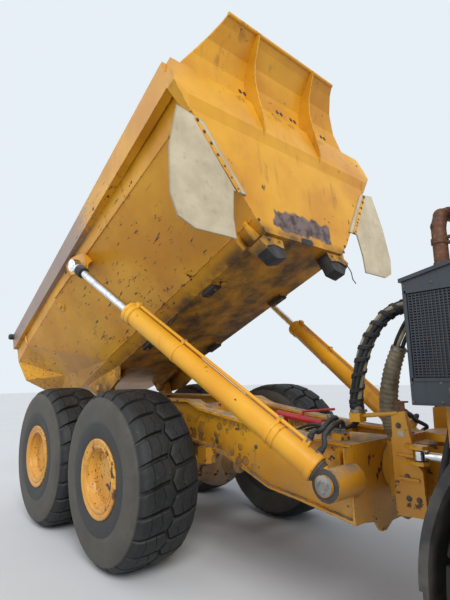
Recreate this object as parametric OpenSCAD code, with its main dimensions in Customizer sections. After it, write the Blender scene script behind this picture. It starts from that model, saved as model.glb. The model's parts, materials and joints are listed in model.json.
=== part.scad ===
// Articulated dump truck with three axles and a raised tipping body.
// Millimetres. X points forward, Y to the left, Z up. Ground is z = 0.

/* [Wheels] */
// Outer diameter of a tyre over its lugs
tyre_d = 1850; // [1780:5:1900]
// Width of a tyre
tyre_w = 740; // [680:5:780]
// Height of the tyre lugs
lug_h = 42; // [30:1:50]
// Middle of a tyre from the centre line
tyre_y = 1280; // [1250:5:1320]
// Outer diameter of the rim flanges
rim_d = 816; // [780:2:840]
// Distance from the middle axle to the rear axle
bogie_base = 1950; // [1900:5:2000]
// Distance from the front axle to the middle axle
wheelbase = 4440; // [4380:5:4500]

/* [Bed] */
// Angle at which the bed stands raised, from lying flat
bed_rest = 22; // [0:1:30]
// Bed hinge behind the middle axle
hinge_back = 2100; // [2080:5:2120]
// Height of the bed hinge
hinge_z = 1830; // [1820:5:1850]
// Thickness of the bed plates
plate_t = 24; // [18:1:30]
// Half width of the flat floor
floor_hw = 660; // [640:5:680]

/* [Hoist cylinders] */
// Outer radius of a barrel
barrel_r = 105; // [95:1:112]
// Radius of a rod
rod_r = 50; // [42:1:55]
// Distance of a lower ball from the centre line
hoist_low_y = 850; // [840:5:860]
// Distance of an upper eye from the centre line
hoist_up_y = 1690; // [1680:5:1700]

/* [Frame] */
// Height of the swivel axis between the two halves
swivel_z = 1180; // [1160:5:1200]

/* [Cab] */
// Half width of the cab
cab_hw = 860; // [820:5:860]
// Top of the cab roof
cab_top = 3800; // [3740:10:3840]

/* [Clearances] */
// Play of a pin in its bore, on the radius
pin_play = 0.6; // [0.5:0.1:0.9]
// Play between a soft piece and what holds it
soft_gap = 0.3; // [0.3:0.1:0.9]
// Air between the front tyres and their fenders
fender_gap = 55; // [45:5:80]

/* [Hidden] */
axle_z = tyre_d / 2;
tyre_r = tyre_d / 2;
rim_bed = rim_d / 2 - 90;
rear_x = -bogie_base;
front_x = wheelbase;
// the half in front of the swivel is drawn for a front axle here, and then moved
front_drawn = 4440;
lead = front_x - front_drawn;
fender_r = tyre_r + fender_gap + 30;
deck_z = axle_z + fender_r + 77;
hx = -hinge_back;
bed_back = 3480;
rail_top = 3400;
front_reach = front_x + 3185;
rear_reach = hx - (bed_back + hx) * cos(bed_rest) - (rail_top - hinge_z) * sin(bed_rest);
org_x = (front_reach + rear_reach) / 2;
pin_r = 45;
// hoist cylinder, from its lower ball to its upper eye
hoist_low = [2434 + lead, -hoist_low_y, 1144];
hoist_up = [-745, -hoist_up_y, 3398];
hoist_v = hoist_up - hoist_low;
hoist_len = norm(hoist_v);
hoist_pitch = acos(hoist_v[2] / hoist_len);
hoist_yaw = atan2(hoist_v[1], hoist_v[0]);
eye_turn = -atan(tan(hoist_yaw + 180) * cos(hoist_pitch));
gland_at = 2745;
piston_at = 960;
ball_r = 70;
// steering cylinder, from its pin on the front frame to the knuckle
steer_low = [2940, -440, 1360];
steer_up = [4350, -480, 1360];
steer_v = steer_low - steer_up;
steer_len = norm(steer_v);
steer_yaw = atan2(steer_v[1], steer_v[0]);
pivot = [3050, 0];

// Helpers
// moves the drawn truck so that the origin lies under its middle
module put() translate([-org_x, 0, 0]) children();
// the same for what stands in front of the swivel
module ahead() put() translate([lead, 0, 0]) children();
// both sides of a pair
module both() { children(); mirror([0, 1, 0]) children(); }
// a side-view outline [x, z] made thick from y0 to y1
module slab(pts, y0, y1)
  translate([0, y1, 0]) rotate([90, 0, 0]) linear_extrude(y1 - y0) polygon(pts);
// a front-view outline [y, z] made long from x0 to x1
module run(pts, x0, x1)
  translate([x0, 0, 0]) rotate([90, 0, 90]) linear_extrude(x1 - x0) polygon(pts);
// a bar with a round section between two points
module bar(a, b, r) {
  v = b - a;
  translate(a) rotate([0, acos(v[2] / norm(v)), atan2(v[1], v[0])])
    cylinder(r = r, h = norm(v));
}
// a round pin across the truck
module cross_pin(x, z, r, y0, y1)
  translate([x, y1, z]) rotate([90, 0, 0]) cylinder(r = r, h = y1 - y0);
module box(a, b) translate(a) cube(b - a);
// a plate between corner points
module sheet(pts, t) hull() for (p = pts) translate(p - [t, t, t] / 2) cube(t);
// an outline and its other half across the centre line
function mirrored(pts) = concat(pts, [for (i = [len(pts) - 1 : -1 : 0]) [pts[i][0], -pts[i][1]]]);
function facing(pts) = concat(pts, [for (i = [len(pts) - 1 : -1 : 0]) [-pts[i][0], pts[i][1]]]);
// turns the bed from lying flat to its standing angle
module bed_pose()
  translate([hx, 0, hinge_z]) rotate([0, -bed_rest, 0]) translate([-hx, 0, -hinge_z]) children();
// a smooth route through hand-set points, and a hose along it
function unit(v) = v / norm(v);
function curve(a, b, c, d, t) = b + (c - a) * t / 2 + (a * 2 - b * 5 + c * 4 - d) * t * t / 2
  + (b * 3 - a - c * 3 + d) * t * t * t / 2;
function route(p, k) = concat([for (i = [0 : len(p) - 2]) for (j = [0 : k - 1])
  curve(p[max(i - 1, 0)], p[i], p[i + 1], p[min(i + 2, len(p) - 1)], j / k)], [p[len(p) - 1]]);
module hose(line, r, across, n = 10) {
  m = len(line);
  rings = [for (i = [0 : m - 1]) let (d = unit(line[min(i + 1, m - 1)] - line[max(i - 1, 0)]),
    s = unit(cross(across, d)), u = cross(d, s))
    for (j = [0 : n - 1]) line[i] + r * (cos(360 * j / n) * s + sin(360 * j / n) * u)];
  sides = [for (i = [0 : m - 2]) for (j = [0 : n - 1])
    [i * n + j, (i + 1) * n + j, (i + 1) * n + (j + 1) % n, i * n + (j + 1) % n]];
  polyhedron(rings, concat([[for (j = [0 : n - 1]) j]], sides,
    [[for (j = [n - 1 : -1 : 0]) (m - 1) * n + j]]));
}

// Wheels
module on_wheel(x, s) put() translate([x, s * tyre_y, axle_z]) rotate([s * -90, 0, 0]) children();
// one half of a tyre's outline: [below the outer radius, in from the side]
crown_pts = [[tyre_r - rim_bed - soft_gap, 20.5], [tyre_r - rim_d / 2 - 0.5, 20.5],
  [tyre_r - rim_d / 2 - 22, 5], [325, 0], [185, 8], [73 + lug_h, 35], [36 + lug_h, 80],
  [15 + lug_h, 150], [9 + lug_h, 250]];
lug_pts = [[75, 348], [9, 348], [11, 240], [22, 140], [45, 72], [79, 32], [115, 20],
  [127, 40], [89, 85]];
lug_count = 24;
lug_len = 200;
lug_slant = 12;
module tyre_at(x, s) {
  w = tyre_w / 2;
  on_wheel(x, s) {
    rotate_extrude() polygon(mirrored([for (p = crown_pts) [tyre_r - p[0], -w + p[1]]]));
    for (side = [0, 1]) mirror([0, 0, side]) for (i = [0 : lug_count - 1])
      rotate((i + side / 2) * 360 / lug_count) rotate([90, 0, 0]) rotate([lug_slant, 0, 0])
        translate([0, 0, -lug_len / 2]) linear_extrude(lug_len)
          polygon([for (p = lug_pts) [tyre_r - p[0], w - p[1]]]);
  }
}
module rim_at(x, s) {
  w = tyre_w / 2;
  f = rim_d / 2;
  on_wheel(x, s) rotate_extrude() polygon([[110, -170], [205, -170], [205, w - 134],
    [rim_bed - 22, w - 134], [rim_bed - 22, -w + 60], [rim_bed, -w + 30], [f - 58, -w + 2],
    [f, -w + 2], [f, -w + 20], [rim_bed, -w + 20], [rim_bed, w - 20], [f, w - 20], [f, w - 8],
    [f - 12, w], [f - 36, w - 6], [f - 60, w - 14], [f - 65, w - 7], [f - 86, w - 8],
    [f - 104, w - 20], [f - 110, w - 44], [f - 122, w - 56], [f - 154, w - 106], [0, w - 106],
    [0, 40], [110, 40]]);
}
module tyre_fr() color("#23211f") tyre_at(front_x, -1);
module tyre_fl() color("#23211f") tyre_at(front_x, 1);
module tyre_mr() color("#23211f") tyre_at(0, -1);
module tyre_ml() color("#23211f") tyre_at(0, 1);
module tyre_rr() color("#23211f") tyre_at(rear_x, -1);
module tyre_rl() color("#23211f") tyre_at(rear_x, 1);
module rim_fr() color("#d79a1c") rim_at(front_x, -1);
module rim_fl() color("#d79a1c") rim_at(front_x, 1);
module rim_mr() color("#d79a1c") rim_at(0, -1);
module rim_ml() color("#d79a1c") rim_at(0, 1);
module rim_rr() color("#d79a1c") rim_at(rear_x, -1);
module rim_rl() color("#d79a1c") rim_at(rear_x, 1);

// Axles: tube, brake housings and final drive, with a nose towards each side in a list
tube_r = 165;
module axle_at(x, noses, nose_len) translate([x, 0, axle_z]) {
  e = tyre_y - 10;
  rotate([90, 0, 0]) rotate_extrude() polygon([[0, -e], [110 - pin_play, -e],
    [110 - pin_play, -1090], [235, -1090], [235, -975], [tube_r, -930], [tube_r, -440],
    [225, -320], [225, 320], [tube_r, 440], [tube_r, 930], [235, 975], [235, 1090],
    [110 - pin_play, 1090], [110 - pin_play, e], [0, e]]);
  sphere(r = 330);
  for (n = noses) rotate([0, n * 90, 0]) {
    cylinder(r1 = 260, r2 = 105, h = nose_len);
    translate([0, 0, nose_len - 20]) cylinder(r = 120, h = 40);
  }
}
nose_len = 440;
module rear_axles() color("#c99321") put() {
  axle_at(0, [-1, 1], nose_len);
  axle_at(rear_x, [1], nose_len);
  // drive shafts between the axles and on to the swivel
  bar([rear_x + nose_len, 0, axle_z], [-nose_len, 0, axle_z], 55);
  bar([nose_len, 0, axle_z], [2042 + lead, 0, swivel_z], 45);
}
beam_top = axle_z + 400;
module walking_beams() color("#8d6a22") put() both() difference() {
  union() {
    slab([[rear_x - 150, axle_z + 120], [150, axle_z + 120], [150, axle_z + 280], [-600, beam_top],
      [rear_x + 600, beam_top], [rear_x - 150, axle_z + 280]], 650, 790);
    for (x = [rear_x, 0]) cross_pin(x, axle_z, 240, 650, 790);
  }
  for (x = [rear_x, 0]) cross_pin(x, axle_z, tube_r, 640, 800);
}

// Rear half
// upper and lower edge of a frame rail, from its front end
rail_up = [[2470 + lead, 1406], [1770 + lead, 1451], [1203, 1515], [465, 1614], [240, 1700]];
rail_low = [[350, 1240], [863, 1161], [1540 + lead, 921], [1900 + lead, 882], [2470 + lead, 800]];
module strip(pts, down, y0, y1)
  slab(concat(pts, [for (i = [len(pts) - 1 : -1 : 0]) pts[i] - [0, down]]), y0, y1);
// front plate, half of its outline [y, z]
plate_pts = [[640, 1406], [640, 800], [513, 797], [351, 769], [285, 690], [262, 678], [190, 674],
  [140, 700], [81, 727]];
module hoist_bracket() {
  x = hoist_low[0];
  z = hoist_low[2];
  difference() {
    union() {
      cross_pin(x, z, 128, 600, 955);
      cross_pin(x, z, 80, 955, 980);
    }
    cross_pin(x, z, 112, 600, 930);
    // open towards the barrel
    difference() {
      slab([[x, z], [x + 60, z + 350], [x - 450, z + 400], [x - 350, z - 200]], 590, 956);
      cross_pin(x, z, 62, 929, 970);
    }
  }
  cross_pin(x, z, 40, 590, 955);
  translate([x, hoist_low_y, z]) sphere(r = ball_r);
  // ribs up to the rail
  for (d = [-49, 18]) box([x + d, 595, z + 110], [x + d + 18, 730, z + 245]);
}
module rear_chassis() color("#d99e1e") put() difference() {
  union() {
    both() {
      slab(concat(rail_up, [[-2200, 1700], [-2230, 1640], [-2230, 1450], [-2120, 1345]], rail_low),
        560, 600);
      strip(concat(rail_up, [[-2200, 1700]]), 25, 440, 640);
      strip([for (p = rail_low) p + [0, 25]], 25, 480, 640);
      strip([[350, 1265], [-2120, 1370]], 25, 480, 640);
      // boss and pin of the bed hinge
      slab([[hx - 95, 1640], [hx + 200, 1640], [hx + 75, hinge_z + 40], [hx - 75, hinge_z + 40]],
        500, 620);
      cross_pin(hx, hinge_z, 90, 500, 620);
      cross_pin(hx, hinge_z, pin_r, 430, 700);
      // arm that carries the walking beam
      box([rear_x / 2 - 120, 595, beam_top], [rear_x / 2 + 120, 800, 1560]);
      // hanging bracket beside the middle wheel
      box([570, 600, 1040], [710, 735, 1210]);
      // coupling block for the hoist's hoses
      box([2230 + lead, 440, 1395], [2330 + lead, 560, 1475]);
      hoist_bracket();
    }
    // cross members
    cross_pin(1200, 1280, 110, -570, 570);
    cross_pin(1690, 1360, 80, -570, 570);
    cross_pin(-300, 1500, 110, -570, 570);
    box([-2220, -570, 1400], [-2120, 570, 1640]);
    run(facing(plate_pts), 2445 + lead, 2470 + lead);
    // bearing tube of the swivel
    translate([2050 + lead, 0, swivel_z]) rotate([0, 90, 0]) cylinder(r = 240, h = 420);
  }
  translate([2100 + lead, 0, swivel_z]) rotate([0, 90, 0]) cylinder(r = 150, h = 500);
  both() box([2440 + lead, 205, 690], [2475 + lead, 255, 712]);
}
module red_strut() color("#b8202a") put() difference() {
  union() {
    bar([1110, 0, 1549], [1725, 0, 1478], 35);
    box([1170, -30, 1340], [1230, 30, 1530]);
    box([1660, -30, 1400], [1720, 30, 1480]);
    bar([1461, 0, 1510], [1480, 0, 1585], 13);
    translate([1480, 0, 1585]) sphere(r = 18);
    bar([1480, 0, 1585], [1880, 0, 1625], 13);
  }
  cross_pin(1200, 1280, 110, -100, 100);
  cross_pin(1690, 1360, 80, -100, 100);
}

// Bed, drawn lying flat
function wall_x(z) = 1960 + (z - 1882) * 0.2575;
beam_x = wall_x(2990);
module bed_body() {
  t = plate_t;
  h = t / 2;
  // corners of the plates, from the front wall (0) to the tail (3), floor (A) to rail (D)
  A0 = [wall_x(1890), floor_hw - h, 1890 + h];
  B0 = [wall_x(2020), 800 - h, 2020 + h];
  C0 = [beam_x, 1520 - h, 2990];
  D0 = [beam_x, 1620 - h, 3530];
  A1 = [-1455, floor_hw - h, 1890 + h];
  B1 = [-1455, 800 - h, 2020 + h];
  C1 = [-1455, 1490, 2990];
  D1 = [-1455, 1530, 3440];
  A2 = [-2900, 700, 2087];
  B2 = [-2900, 858, 2382];
  C2 = [-2900, 1440, 2960];
  D2 = [-2900, 1470, 3400];
  A3 = [-bed_back + h, 760, 2202];
  B3 = [-bed_back + h, 1318, 2542];
  C3 = [-bed_back + h, 1425, 2890];
  D3 = [-bed_back + h, 1445, 3380];
  // floor and front wall, each across the whole width
  for (p = [[A0, A1], [A1, A2], [A2, A3], [A0, B0], [B0, C0], [C0, D0]])
    sheet([for (q = p) for (s = [-1, 1]) [q[0], s * q[1], q[2]]], t);
  side_plates = [
    // bevel along the floor
    [A0, A1, B0, B1], [A1, A2, B1], [B1, A2, B2], [A2, A3, B2], [A3, B3, B2],
    // sloping sides
    [B0, B1, C0], [B1, C0, C1], [B1, C1, C2], [B1, B2, C2], [B2, C2, C3], [B2, B3, C3],
    // upright sides
    [C0, C1, D0], [C1, D0, D1], [C1, C2, D1], [C2, D2, D1], [C2, C3, D2], [C3, D2, D3]];
  lip = [0, h + 2, -h + 7.4];
  both() {
    for (p = side_plates) sheet(p, t);
    // lip along the edge of the floor
    for (p = [[A0, A1], [A1, A2], [A2, A3]]) sheet([p[0] + lip, p[1] + lip], 14);
    // top rail
    hull() {
      box([2210, 1600, 3220], [2250, 1700, 3570]);
      box([-bed_back, 1435, 3130], [-bed_back + 30, 1512, 3400]);
    }
  }
  // front beam
  hull() {
    box([beam_x - 60, -1520, 2950], [beam_x, 1520, 2990]);
    box([2210, -1560, 3090], [2320, 1560, 3100]);
    box([2210, -1700, 3200], [2330, 1700, 3380]);
    box([2210, -1650, 3540], [2330, 1650, 3570]);
  }
}
module bed_tub() color("#dca224") put() bed_pose() bed_body();
// curved guard above the front wall: [x, half width, z]
guard_rows = [[2265, 1420, 3581.3], [2262, 1420, 3740], [2330, 1270, 3930], [2470, 1110, 4110],
  [2640, 990, 4240], [2745, 943, 4300]];
module spill_guard() color("#dca224") put() bed_pose() {
  for (i = [0 : len(guard_rows) - 2]) sheet([for (p = [guard_rows[i], guard_rows[i + 1]])
    for (s = [-1, 1]) [p[0], s * p[1], p[2]]], 22);
  cross_pin(2745, 4300, 28, -955, 955);
  both() slab([[2290, 3571], [2331, 3571], [2331, 3200], [2321.5, 3092], [2302, 3055],
    [2362, 3150], [2402, 3330], [2432, 3560], [2475, 3780], [2560, 3980], [2690, 4150],
    [2782, 4262], [2745, 4300], [2640, 4240], [2470, 4110], [2330, 3930], [2262, 3740],
    [2268, 3590]], 490, 515);
}
flap_pts = [[905, 2230], [1080, 2225], [1125, 1945], [1115, 1722], [1240, 1725], [1600, 1722],
  [1780, 1800], [1845, 2000], [1815, 2460], [1690, 2930], [1380, 2880]];
flap_low = 1722;
wall_lean = atan(0.2575);
module side_flaps() color("#b3ab92") put() bed_pose() both()
  translate([wall_x(flap_low), 0, flap_low]) rotate([0, wall_lean, 0])
    translate([14.92, 0, 0]) rotate([90, 0, 90]) linear_extrude(14)
      polygon([for (p = flap_pts) [p[0], (p[1] - flap_low) / cos(wall_lean)]]);
seat = 0.4;
function under_z(x) = 1890 - seat + max(0, -1467 - x) * 0.12803;
function rail_under(x) = 3130 - seat + (x + 3450) * 0.015789;
module bed_brackets() color("#dca224") put() bed_pose() both() {
  h = plate_t / 2;
  // hinge lugs on both sides of the chassis boss
  difference() {
    union() {
      slab([[hx - 85, hinge_z - 20], [hx + 85, hinge_z - 20], [-1600, 1850],
        [-1480, under_z(-1480)], [hx - 180, under_z(hx - 180)]], 440, 488);
      slab([[-2460, under_z(-2460)], [-2230, 1770], [-2110, 1720], [-1720, 1640], [-1440, 1690],
        [-1370, under_z(-1370)], [-1467, under_z(-1467)]], 648, 690);
      cross_pin(hx, hinge_z, 92, 440, 488);
    }
    cross_pin(hx, hinge_z, pin_r + pin_play, 430, 700);
  }
  // gusset and boss behind a rod's eye, and a rib from it to the sloping side
  slab([[-780, rail_under(-780)], [-770, 3100], [-650, 2905], [-420, 2790], [-330, 2690],
    [-257, 2660], [-200, 2690], [-165, 2760], [-230, 2985], [-640, rail_under(-640)]],
    1548, 1572);
  cross_pin(-257, 2776, 60, 1560, 1600);
  run([[1549, 2790], [1549, 2989 - h], [1497 + h, 2989.5 - h], [1429 + h, 2897.5 - h]], -260, -236);
  // ribs across the bevel near the front wall
  for (x = [1690, 1870])
    run([[676, 1904.2], [800, 2019.4], [830, 2058], [872, 2028], [815, 1890], [775, 1830]], x, x + 25);
}
module bed_pads() color("#1c1b1a") put() bed_pose() both() {
  for (x = [-600, 880]) box([x - 120, 520, 1840], [x + 120, 640, 1890]);
  run([[400, 1889.6], [655, 1889.6], [760, 1800], [600, 1610], [420, 1650]], 1780, 1930);
}

// Hoist cylinders
module along_hoist() translate(hoist_low) rotate([0, hoist_pitch, hoist_yaw]) children();
// an eye across the cylinder, as level as its lean allows
module hoist_eye(r, w) rotate([0, 0, eye_turn]) rotate([90, 0, 0]) cylinder(r = r, h = w, center = true);
bore_r = barrel_r - 18;
module hoist_barrel() color("#e0a92c") put() along_hoist() difference() {
  union() {
    hoist_eye(100, 90);
    translate([0, 0, 55]) cylinder(r1 = 50, r2 = barrel_r, h = 110);
    translate([0, 0, 165]) cylinder(r = barrel_r + 13, h = 45);
    translate([0, 0, 160]) cylinder(r = barrel_r, h = gland_at - 160);
    translate([0, 0, 554]) cylinder(r = barrel_r + 4, h = 12);
    translate([0, 0, gland_at - 110]) cylinder(r = barrel_r + 13, h = 110);
    translate([0, 0, gland_at - 45]) cylinder(r = barrel_r + 17, h = 45);
    // oil pipe with its end blocks and clamps
    translate([-barrel_r - 30, 0, 330]) cylinder(r = 17, h = 2330);
    for (t = [300, 2630]) translate([-barrel_r - 55, -28, t]) cube([75, 56, 60]);
    for (t = [610, 1870]) translate([0, 0, t]) {
      cylinder(r = barrel_r + 7, h = 32);
      translate([-barrel_r - 52, -24, 0]) cube([60, 48, 32]);
    }
  }
  sphere(r = ball_r + pin_play);
  hoist_eye(62, 200);
  translate([0, 0, 220]) cylinder(r = bore_r, h = gland_at - 310);
  translate([0, 0, 220]) cylinder(r = rod_r + pin_play, h = gland_at);
}
module hoist_rod() color("#c7cbd0") put() along_hoist() {
  translate([0, 0, piston_at]) cylinder(r = bore_r - pin_play, h = 90);
  translate([0, 0, piston_at]) cylinder(r = rod_r, h = hoist_len - piston_at - 20);
  translate([0, 0, hoist_len - 200]) cylinder(r = 68, h = 110);
  translate([0, 0, hoist_len]) {
    hoist_eye(78, 90);
    hoist_eye(46, 100);
  }
}
module hoist_barrel_r() hoist_barrel();
module hoist_barrel_l() mirror([0, 1, 0]) hoist_barrel();
module hoist_rod_r() hoist_rod();
module hoist_rod_l() mirror([0, 1, 0]) hoist_rod();

// Swivel knuckle
module knuckle() color("#d99e1e") ahead() difference() {
  union() {
    translate([2150, 0, swivel_z]) rotate([0, 90, 0]) cylinder(r = 150 - pin_play, h = 400);
    translate([2478, 0, swivel_z]) rotate([0, 90, 0]) cylinder(r = 200, h = 62);
    box([2538, -200, 960], [2700, 200, 1400]);
    box([2690, -400, 890], [2720, 400, 1460]);
    both() {
      slab([[2690, 880], [2935, 895], [2925, 1230], [2868, 1300], [2858, 1440], [2820, 1675],
        [2705, 1655]], 360, 400);
      // ears above and below a steering rod's eye
      for (z = [1290, 1402]) translate([0, 0, z]) linear_extrude(28)
        polygon([[2780, 380], [2925, 380], [2995, 410], [3005, 455], [2985, 500], [2930, 505],
          [2880, 480]]);
    }
    // tongue to the steering pivot
    box([2700, -150, 1000], [pivot[0], 150, 1400]);
    translate([pivot[0], 0, 965]) cylinder(r = 150, h = 470);
    // arm with the hose block
    bar([2760, -385, 1655], [2440, -440, 1620], 18);
    box([2380, -500, 1575], [2480, -400, 1650]);
  }
  translate([pivot[0], 0, 950]) cylinder(r = 60 + pin_play, h = 500);
}
bundle_route = [[2430, -450, 1650.3], [2430, -450, 1690], [2430, -450, 1760], [2495, -450, 2050],
  [2590, -440, 2270], [2720, -380, 2450], [2860, -280, 2530], [2980, -140, 2550],
  [3042, -30, 2590], [3050, 0, 2660], [3050, 0, 2738]];
module hose_bundle() color("#17181a") ahead() hose(route(bundle_route, 6), 40, [1, 1, 0]);

// Front half
module front_chassis() color("#d99e1e") ahead() {
  for (z = [900, 1440]) translate([0, 0, z]) linear_extrude(60) {
    translate(pivot) circle(r = 240);
    polygon(mirrored([[pivot[0], 240], [3520, 420], [3600, 420]]));
  }
  translate([pivot[0], 0, 880]) cylinder(r = 60, h = 640);
  slab([[3500, 900], [3950, 900], [4060, 1290], [4450, 1290], [4450, 1500], [3500, 1500]],
    -220, 220);
  both() {
    slab([[4350, 1290], [4800, 1290], [4900, 1130], [5400, 1130], [6000, 1000], [7280, 1000],
      [7280, 1420], [4350, 1500]], 300, 400);
    // lugs and pin of a steering barrel
    box([4300, 395, 1262], [4420, 408, 1452]);
    for (z = [1268, 1427]) box([4290, 400, z], [4420, 540, z + 25]);
    translate([steer_up[0], -steer_up[1], 1268]) cylinder(r = 35, h = 184);
  }
  box([4350, -400, max(1300, axle_z + 375)], [4450, 400, 1490]);
  box([7180, -400, 1150], [7280, 400, 1400]);
  for (x = [5700, 6600]) box([x, -310, 1010], [x + 80, 310, 1090]);
  // cross beam under the cooler housing
  box([3330, -850, 1500], [3520, 850, 1700]);
  box([3330, -850, 1700], [3520, -320, 1770]);
  box([3520, -600, 1500], [4300, 600, 1720]);
}
module front_axle() color("#c99321") put() {
  axle_at(front_x, [-1], 400);
  both() box([front_x - 70, 310, axle_z + 100], [front_x + 70, 390, 1290]);
}
module along_steer() translate(steer_up) rotate([0, 90, steer_yaw]) children();
module steer_barrel() color("#2a2a2a") ahead() along_steer() difference() {
  union() {
    rotate([0, 90, 0]) translate([0, 0, -62]) cylinder(r = 58, h = 124);
    cylinder(r = 50, h = 80);
    translate([0, 0, 75]) cylinder(r = 68, h = 825);
    translate([0, 0, 860]) cylinder(r = 72, h = 40);
  }
  rotate([0, 90, 0]) translate([0, 0, -90]) cylinder(r = 35 + pin_play, h = 180);
  translate([0, 0, 95]) cylinder(r = 52, h = 745);
  translate([0, 0, 95]) cylinder(r = 30 + pin_play, h = 900);
}
module steer_rod() color("#c7cbd0") ahead() along_steer() {
  translate([0, 0, 430]) cylinder(r = 52 - pin_play, h = 50);
  translate([0, 0, 430]) cylinder(r = 30, h = steer_len - 430);
  translate([0, 0, steer_len]) rotate([0, 90, 0]) translate([0, 0, -32]) cylinder(r = 55, h = 64);
}
module steer_barrel_r() steer_barrel();
module steer_barrel_l() mirror([0, 1, 0]) steer_barrel();
module steer_rod_r() steer_rod();
module steer_rod_l() mirror([0, 1, 0]) steer_rod();
module engine_block() color("#4a4a46") ahead() box([5320, -295, 1090], [6900, 295, 2350]);

// Cab
door_pin = [4380, cab_hw + 24];
screen_low = 2700;
eaves = cab_top - 90;
function screen_x(z) = 5250 - (z - screen_low) * 165 / (eaves - screen_low);
module cab_roof()
  slab([[3630, eaves], [5190, eaves], [5150, cab_top - 30], [5080, cab_top], [3700, cab_top],
    [3640, cab_top - 30]], -cab_hw - 15, cab_hw + 15);
// window outlines [x, z], each drawn d smaller all round
function side_window(d) = [[3780 + d, 2560 + d], [5110 - d, 2560 + d], [5110 - d, 2740],
  [screen_x(3640) - 110 - d, 3640 - d], [3780 + d, 3640 - d]];
function rear_side_window(d) = [[3780 + d, 2560 + d], [4330 - d, 2560 + d], [4330 - d, 3640 - d],
  [3780 + d, 3640 - d]];
function doorway(d) = [[4400 + d, 2090 + d], [5150 - d, 2090 + d], [5150 - d, 2740],
  [screen_x(3670) - 70 - d, 3670 - d], [4400 + d, 3670 - d]];
function door_window(d) = [[4480 + d, 2560 + d], [5070 - d, 2560 + d], [5070 - d, 2740],
  [screen_x(3590) - 150 - d, 3590 - d], [4480 + d, 3590 - d]];
// a slanting slice of the front wall between two depths behind its face
function screen_slice(z0, z1, d0, d1) = [[screen_x(z0) - d0, z0], [screen_x(z0) - d1, z0],
  [screen_x(z1) - d1, z1], [screen_x(z1) - d0, z1]];
module cab_shell() color("#d99e1e") ahead() {
  difference() {
    union() {
      slab([[3650, 1720], [5250, 1720], [5250, screen_low], [screen_x(eaves), eaves],
        [3650, eaves]], -cab_hw, cab_hw);
      cab_roof();
      // pins of the door hinges
      for (z = [2300, 3360]) {
        translate([door_pin[0], door_pin[1], z]) cylinder(r = 12, h = 150);
        box([door_pin[0] - 20, cab_hw - 10, z], [door_pin[0] + 20, door_pin[1], z + 38]);
      }
    }
    slab([[3700, 2040], [5200, 2040], [5200, screen_low], [screen_x(eaves) - 50, eaves - 10],
      [3700, eaves - 10]], -cab_hw + 50, cab_hw - 50);
    slab(screen_slice(2740, 3660, 80, -20), -cab_hw + 90, cab_hw - 90);
    box([3645, -cab_hw + 130, 2900], [3705, cab_hw - 130, 3600]);
    slab(side_window(0), -cab_hw - 5, -cab_hw + 60);
    slab(rear_side_window(0), cab_hw - 60, cab_hw + 5);
    slab(doorway(0), cab_hw - 60, cab_hw + 5);
  }
  // arm with the upper hose coupling, over the steering pivot
  bar([pivot[0], 0, 2790], [3650, 0, 2790], 22);
  translate([pivot[0], 0, 2745]) cylinder(r = 52, h = 85);
}
module cab_glass() color("#8fa3ad") ahead() {
  g = soft_gap;
  slab(screen_slice(2740 + g, 3660 - g, 30, 24), -cab_hw + 90 + g, cab_hw - 90 - g);
  box([3674, -cab_hw + 130 + g, 2900 + g], [3680, cab_hw - 130 - g, 3600 - g]);
  slab(side_window(g), -cab_hw + 24, -cab_hw + 30);
  slab(rear_side_window(g), cab_hw - 30, cab_hw - 24);
}
module cab_interior() color("#3a3a3c") ahead() {
  box([4080, -220, 2040], [4480, 220, 2360]);
  box([4000, -280, 2360], [4560, 280, 2480]);
  hull() {
    box([3960, -250, 2430], [4080, 250, 2480]);
    box([3850, -230, 3180], [3950, 230, 3200]);
  }
  slab([[4960, 2040], [5190, 2040], [5190, 2700], [5120, 2720], [4990, 2600]], -640, 640);
  bar([5010, 0, 2600], [4800, 0, 2860], 30);
  translate([4800, 0, 2860]) rotate([0, -45, 0]) difference() {
    cylinder(r = 220, h = 30);
    for (a = [0 : 120 : 240]) rotate(a) translate([110, 0, -1]) cylinder(r = 70, h = 40);
  }
}
door_gap = 7;
hinge_rows = [2345, 3405];
module cab_door() color("#d99e1e") ahead() difference() {
  union() {
    slab(doorway(door_gap), cab_hw - 45, cab_hw + 5);
    for (z = hinge_rows) {
      translate([door_pin[0], door_pin[1], z]) cylinder(r = 22, h = 100);
      box([door_pin[0], cab_hw + 6, z], [4480, cab_hw + 26, z + 100]);
      box([4410, cab_hw, z], [4480, cab_hw + 10, z + 100]);
    }
    // handle
    box([5040, cab_hw, 2400], [5110, cab_hw + 30, 2430]);
  }
  slab(door_window(0), cab_hw - 60, cab_hw + 10);
  for (z = hinge_rows)
    translate([door_pin[0], door_pin[1], z - 5]) cylinder(r = 12 + pin_play, h = 110);
}
module door_glass() color("#8fa3ad") ahead()
  slab(door_window(soft_gap), cab_hw - 30, cab_hw - 24);
module mirrors() color("#252525") ahead() both() {
  box([5060, cab_hw, 3440], [5100, cab_hw + 14, 3560]);
  bar([5080, cab_hw + 11, 3500], [5460, 1500, 3500], 18);
  slab([[5430, 2950], [5490, 2950], [5510, 3000], [5510, 3440], [5490, 3490], [5430, 3490]],
    1420, 1650);
}

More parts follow.
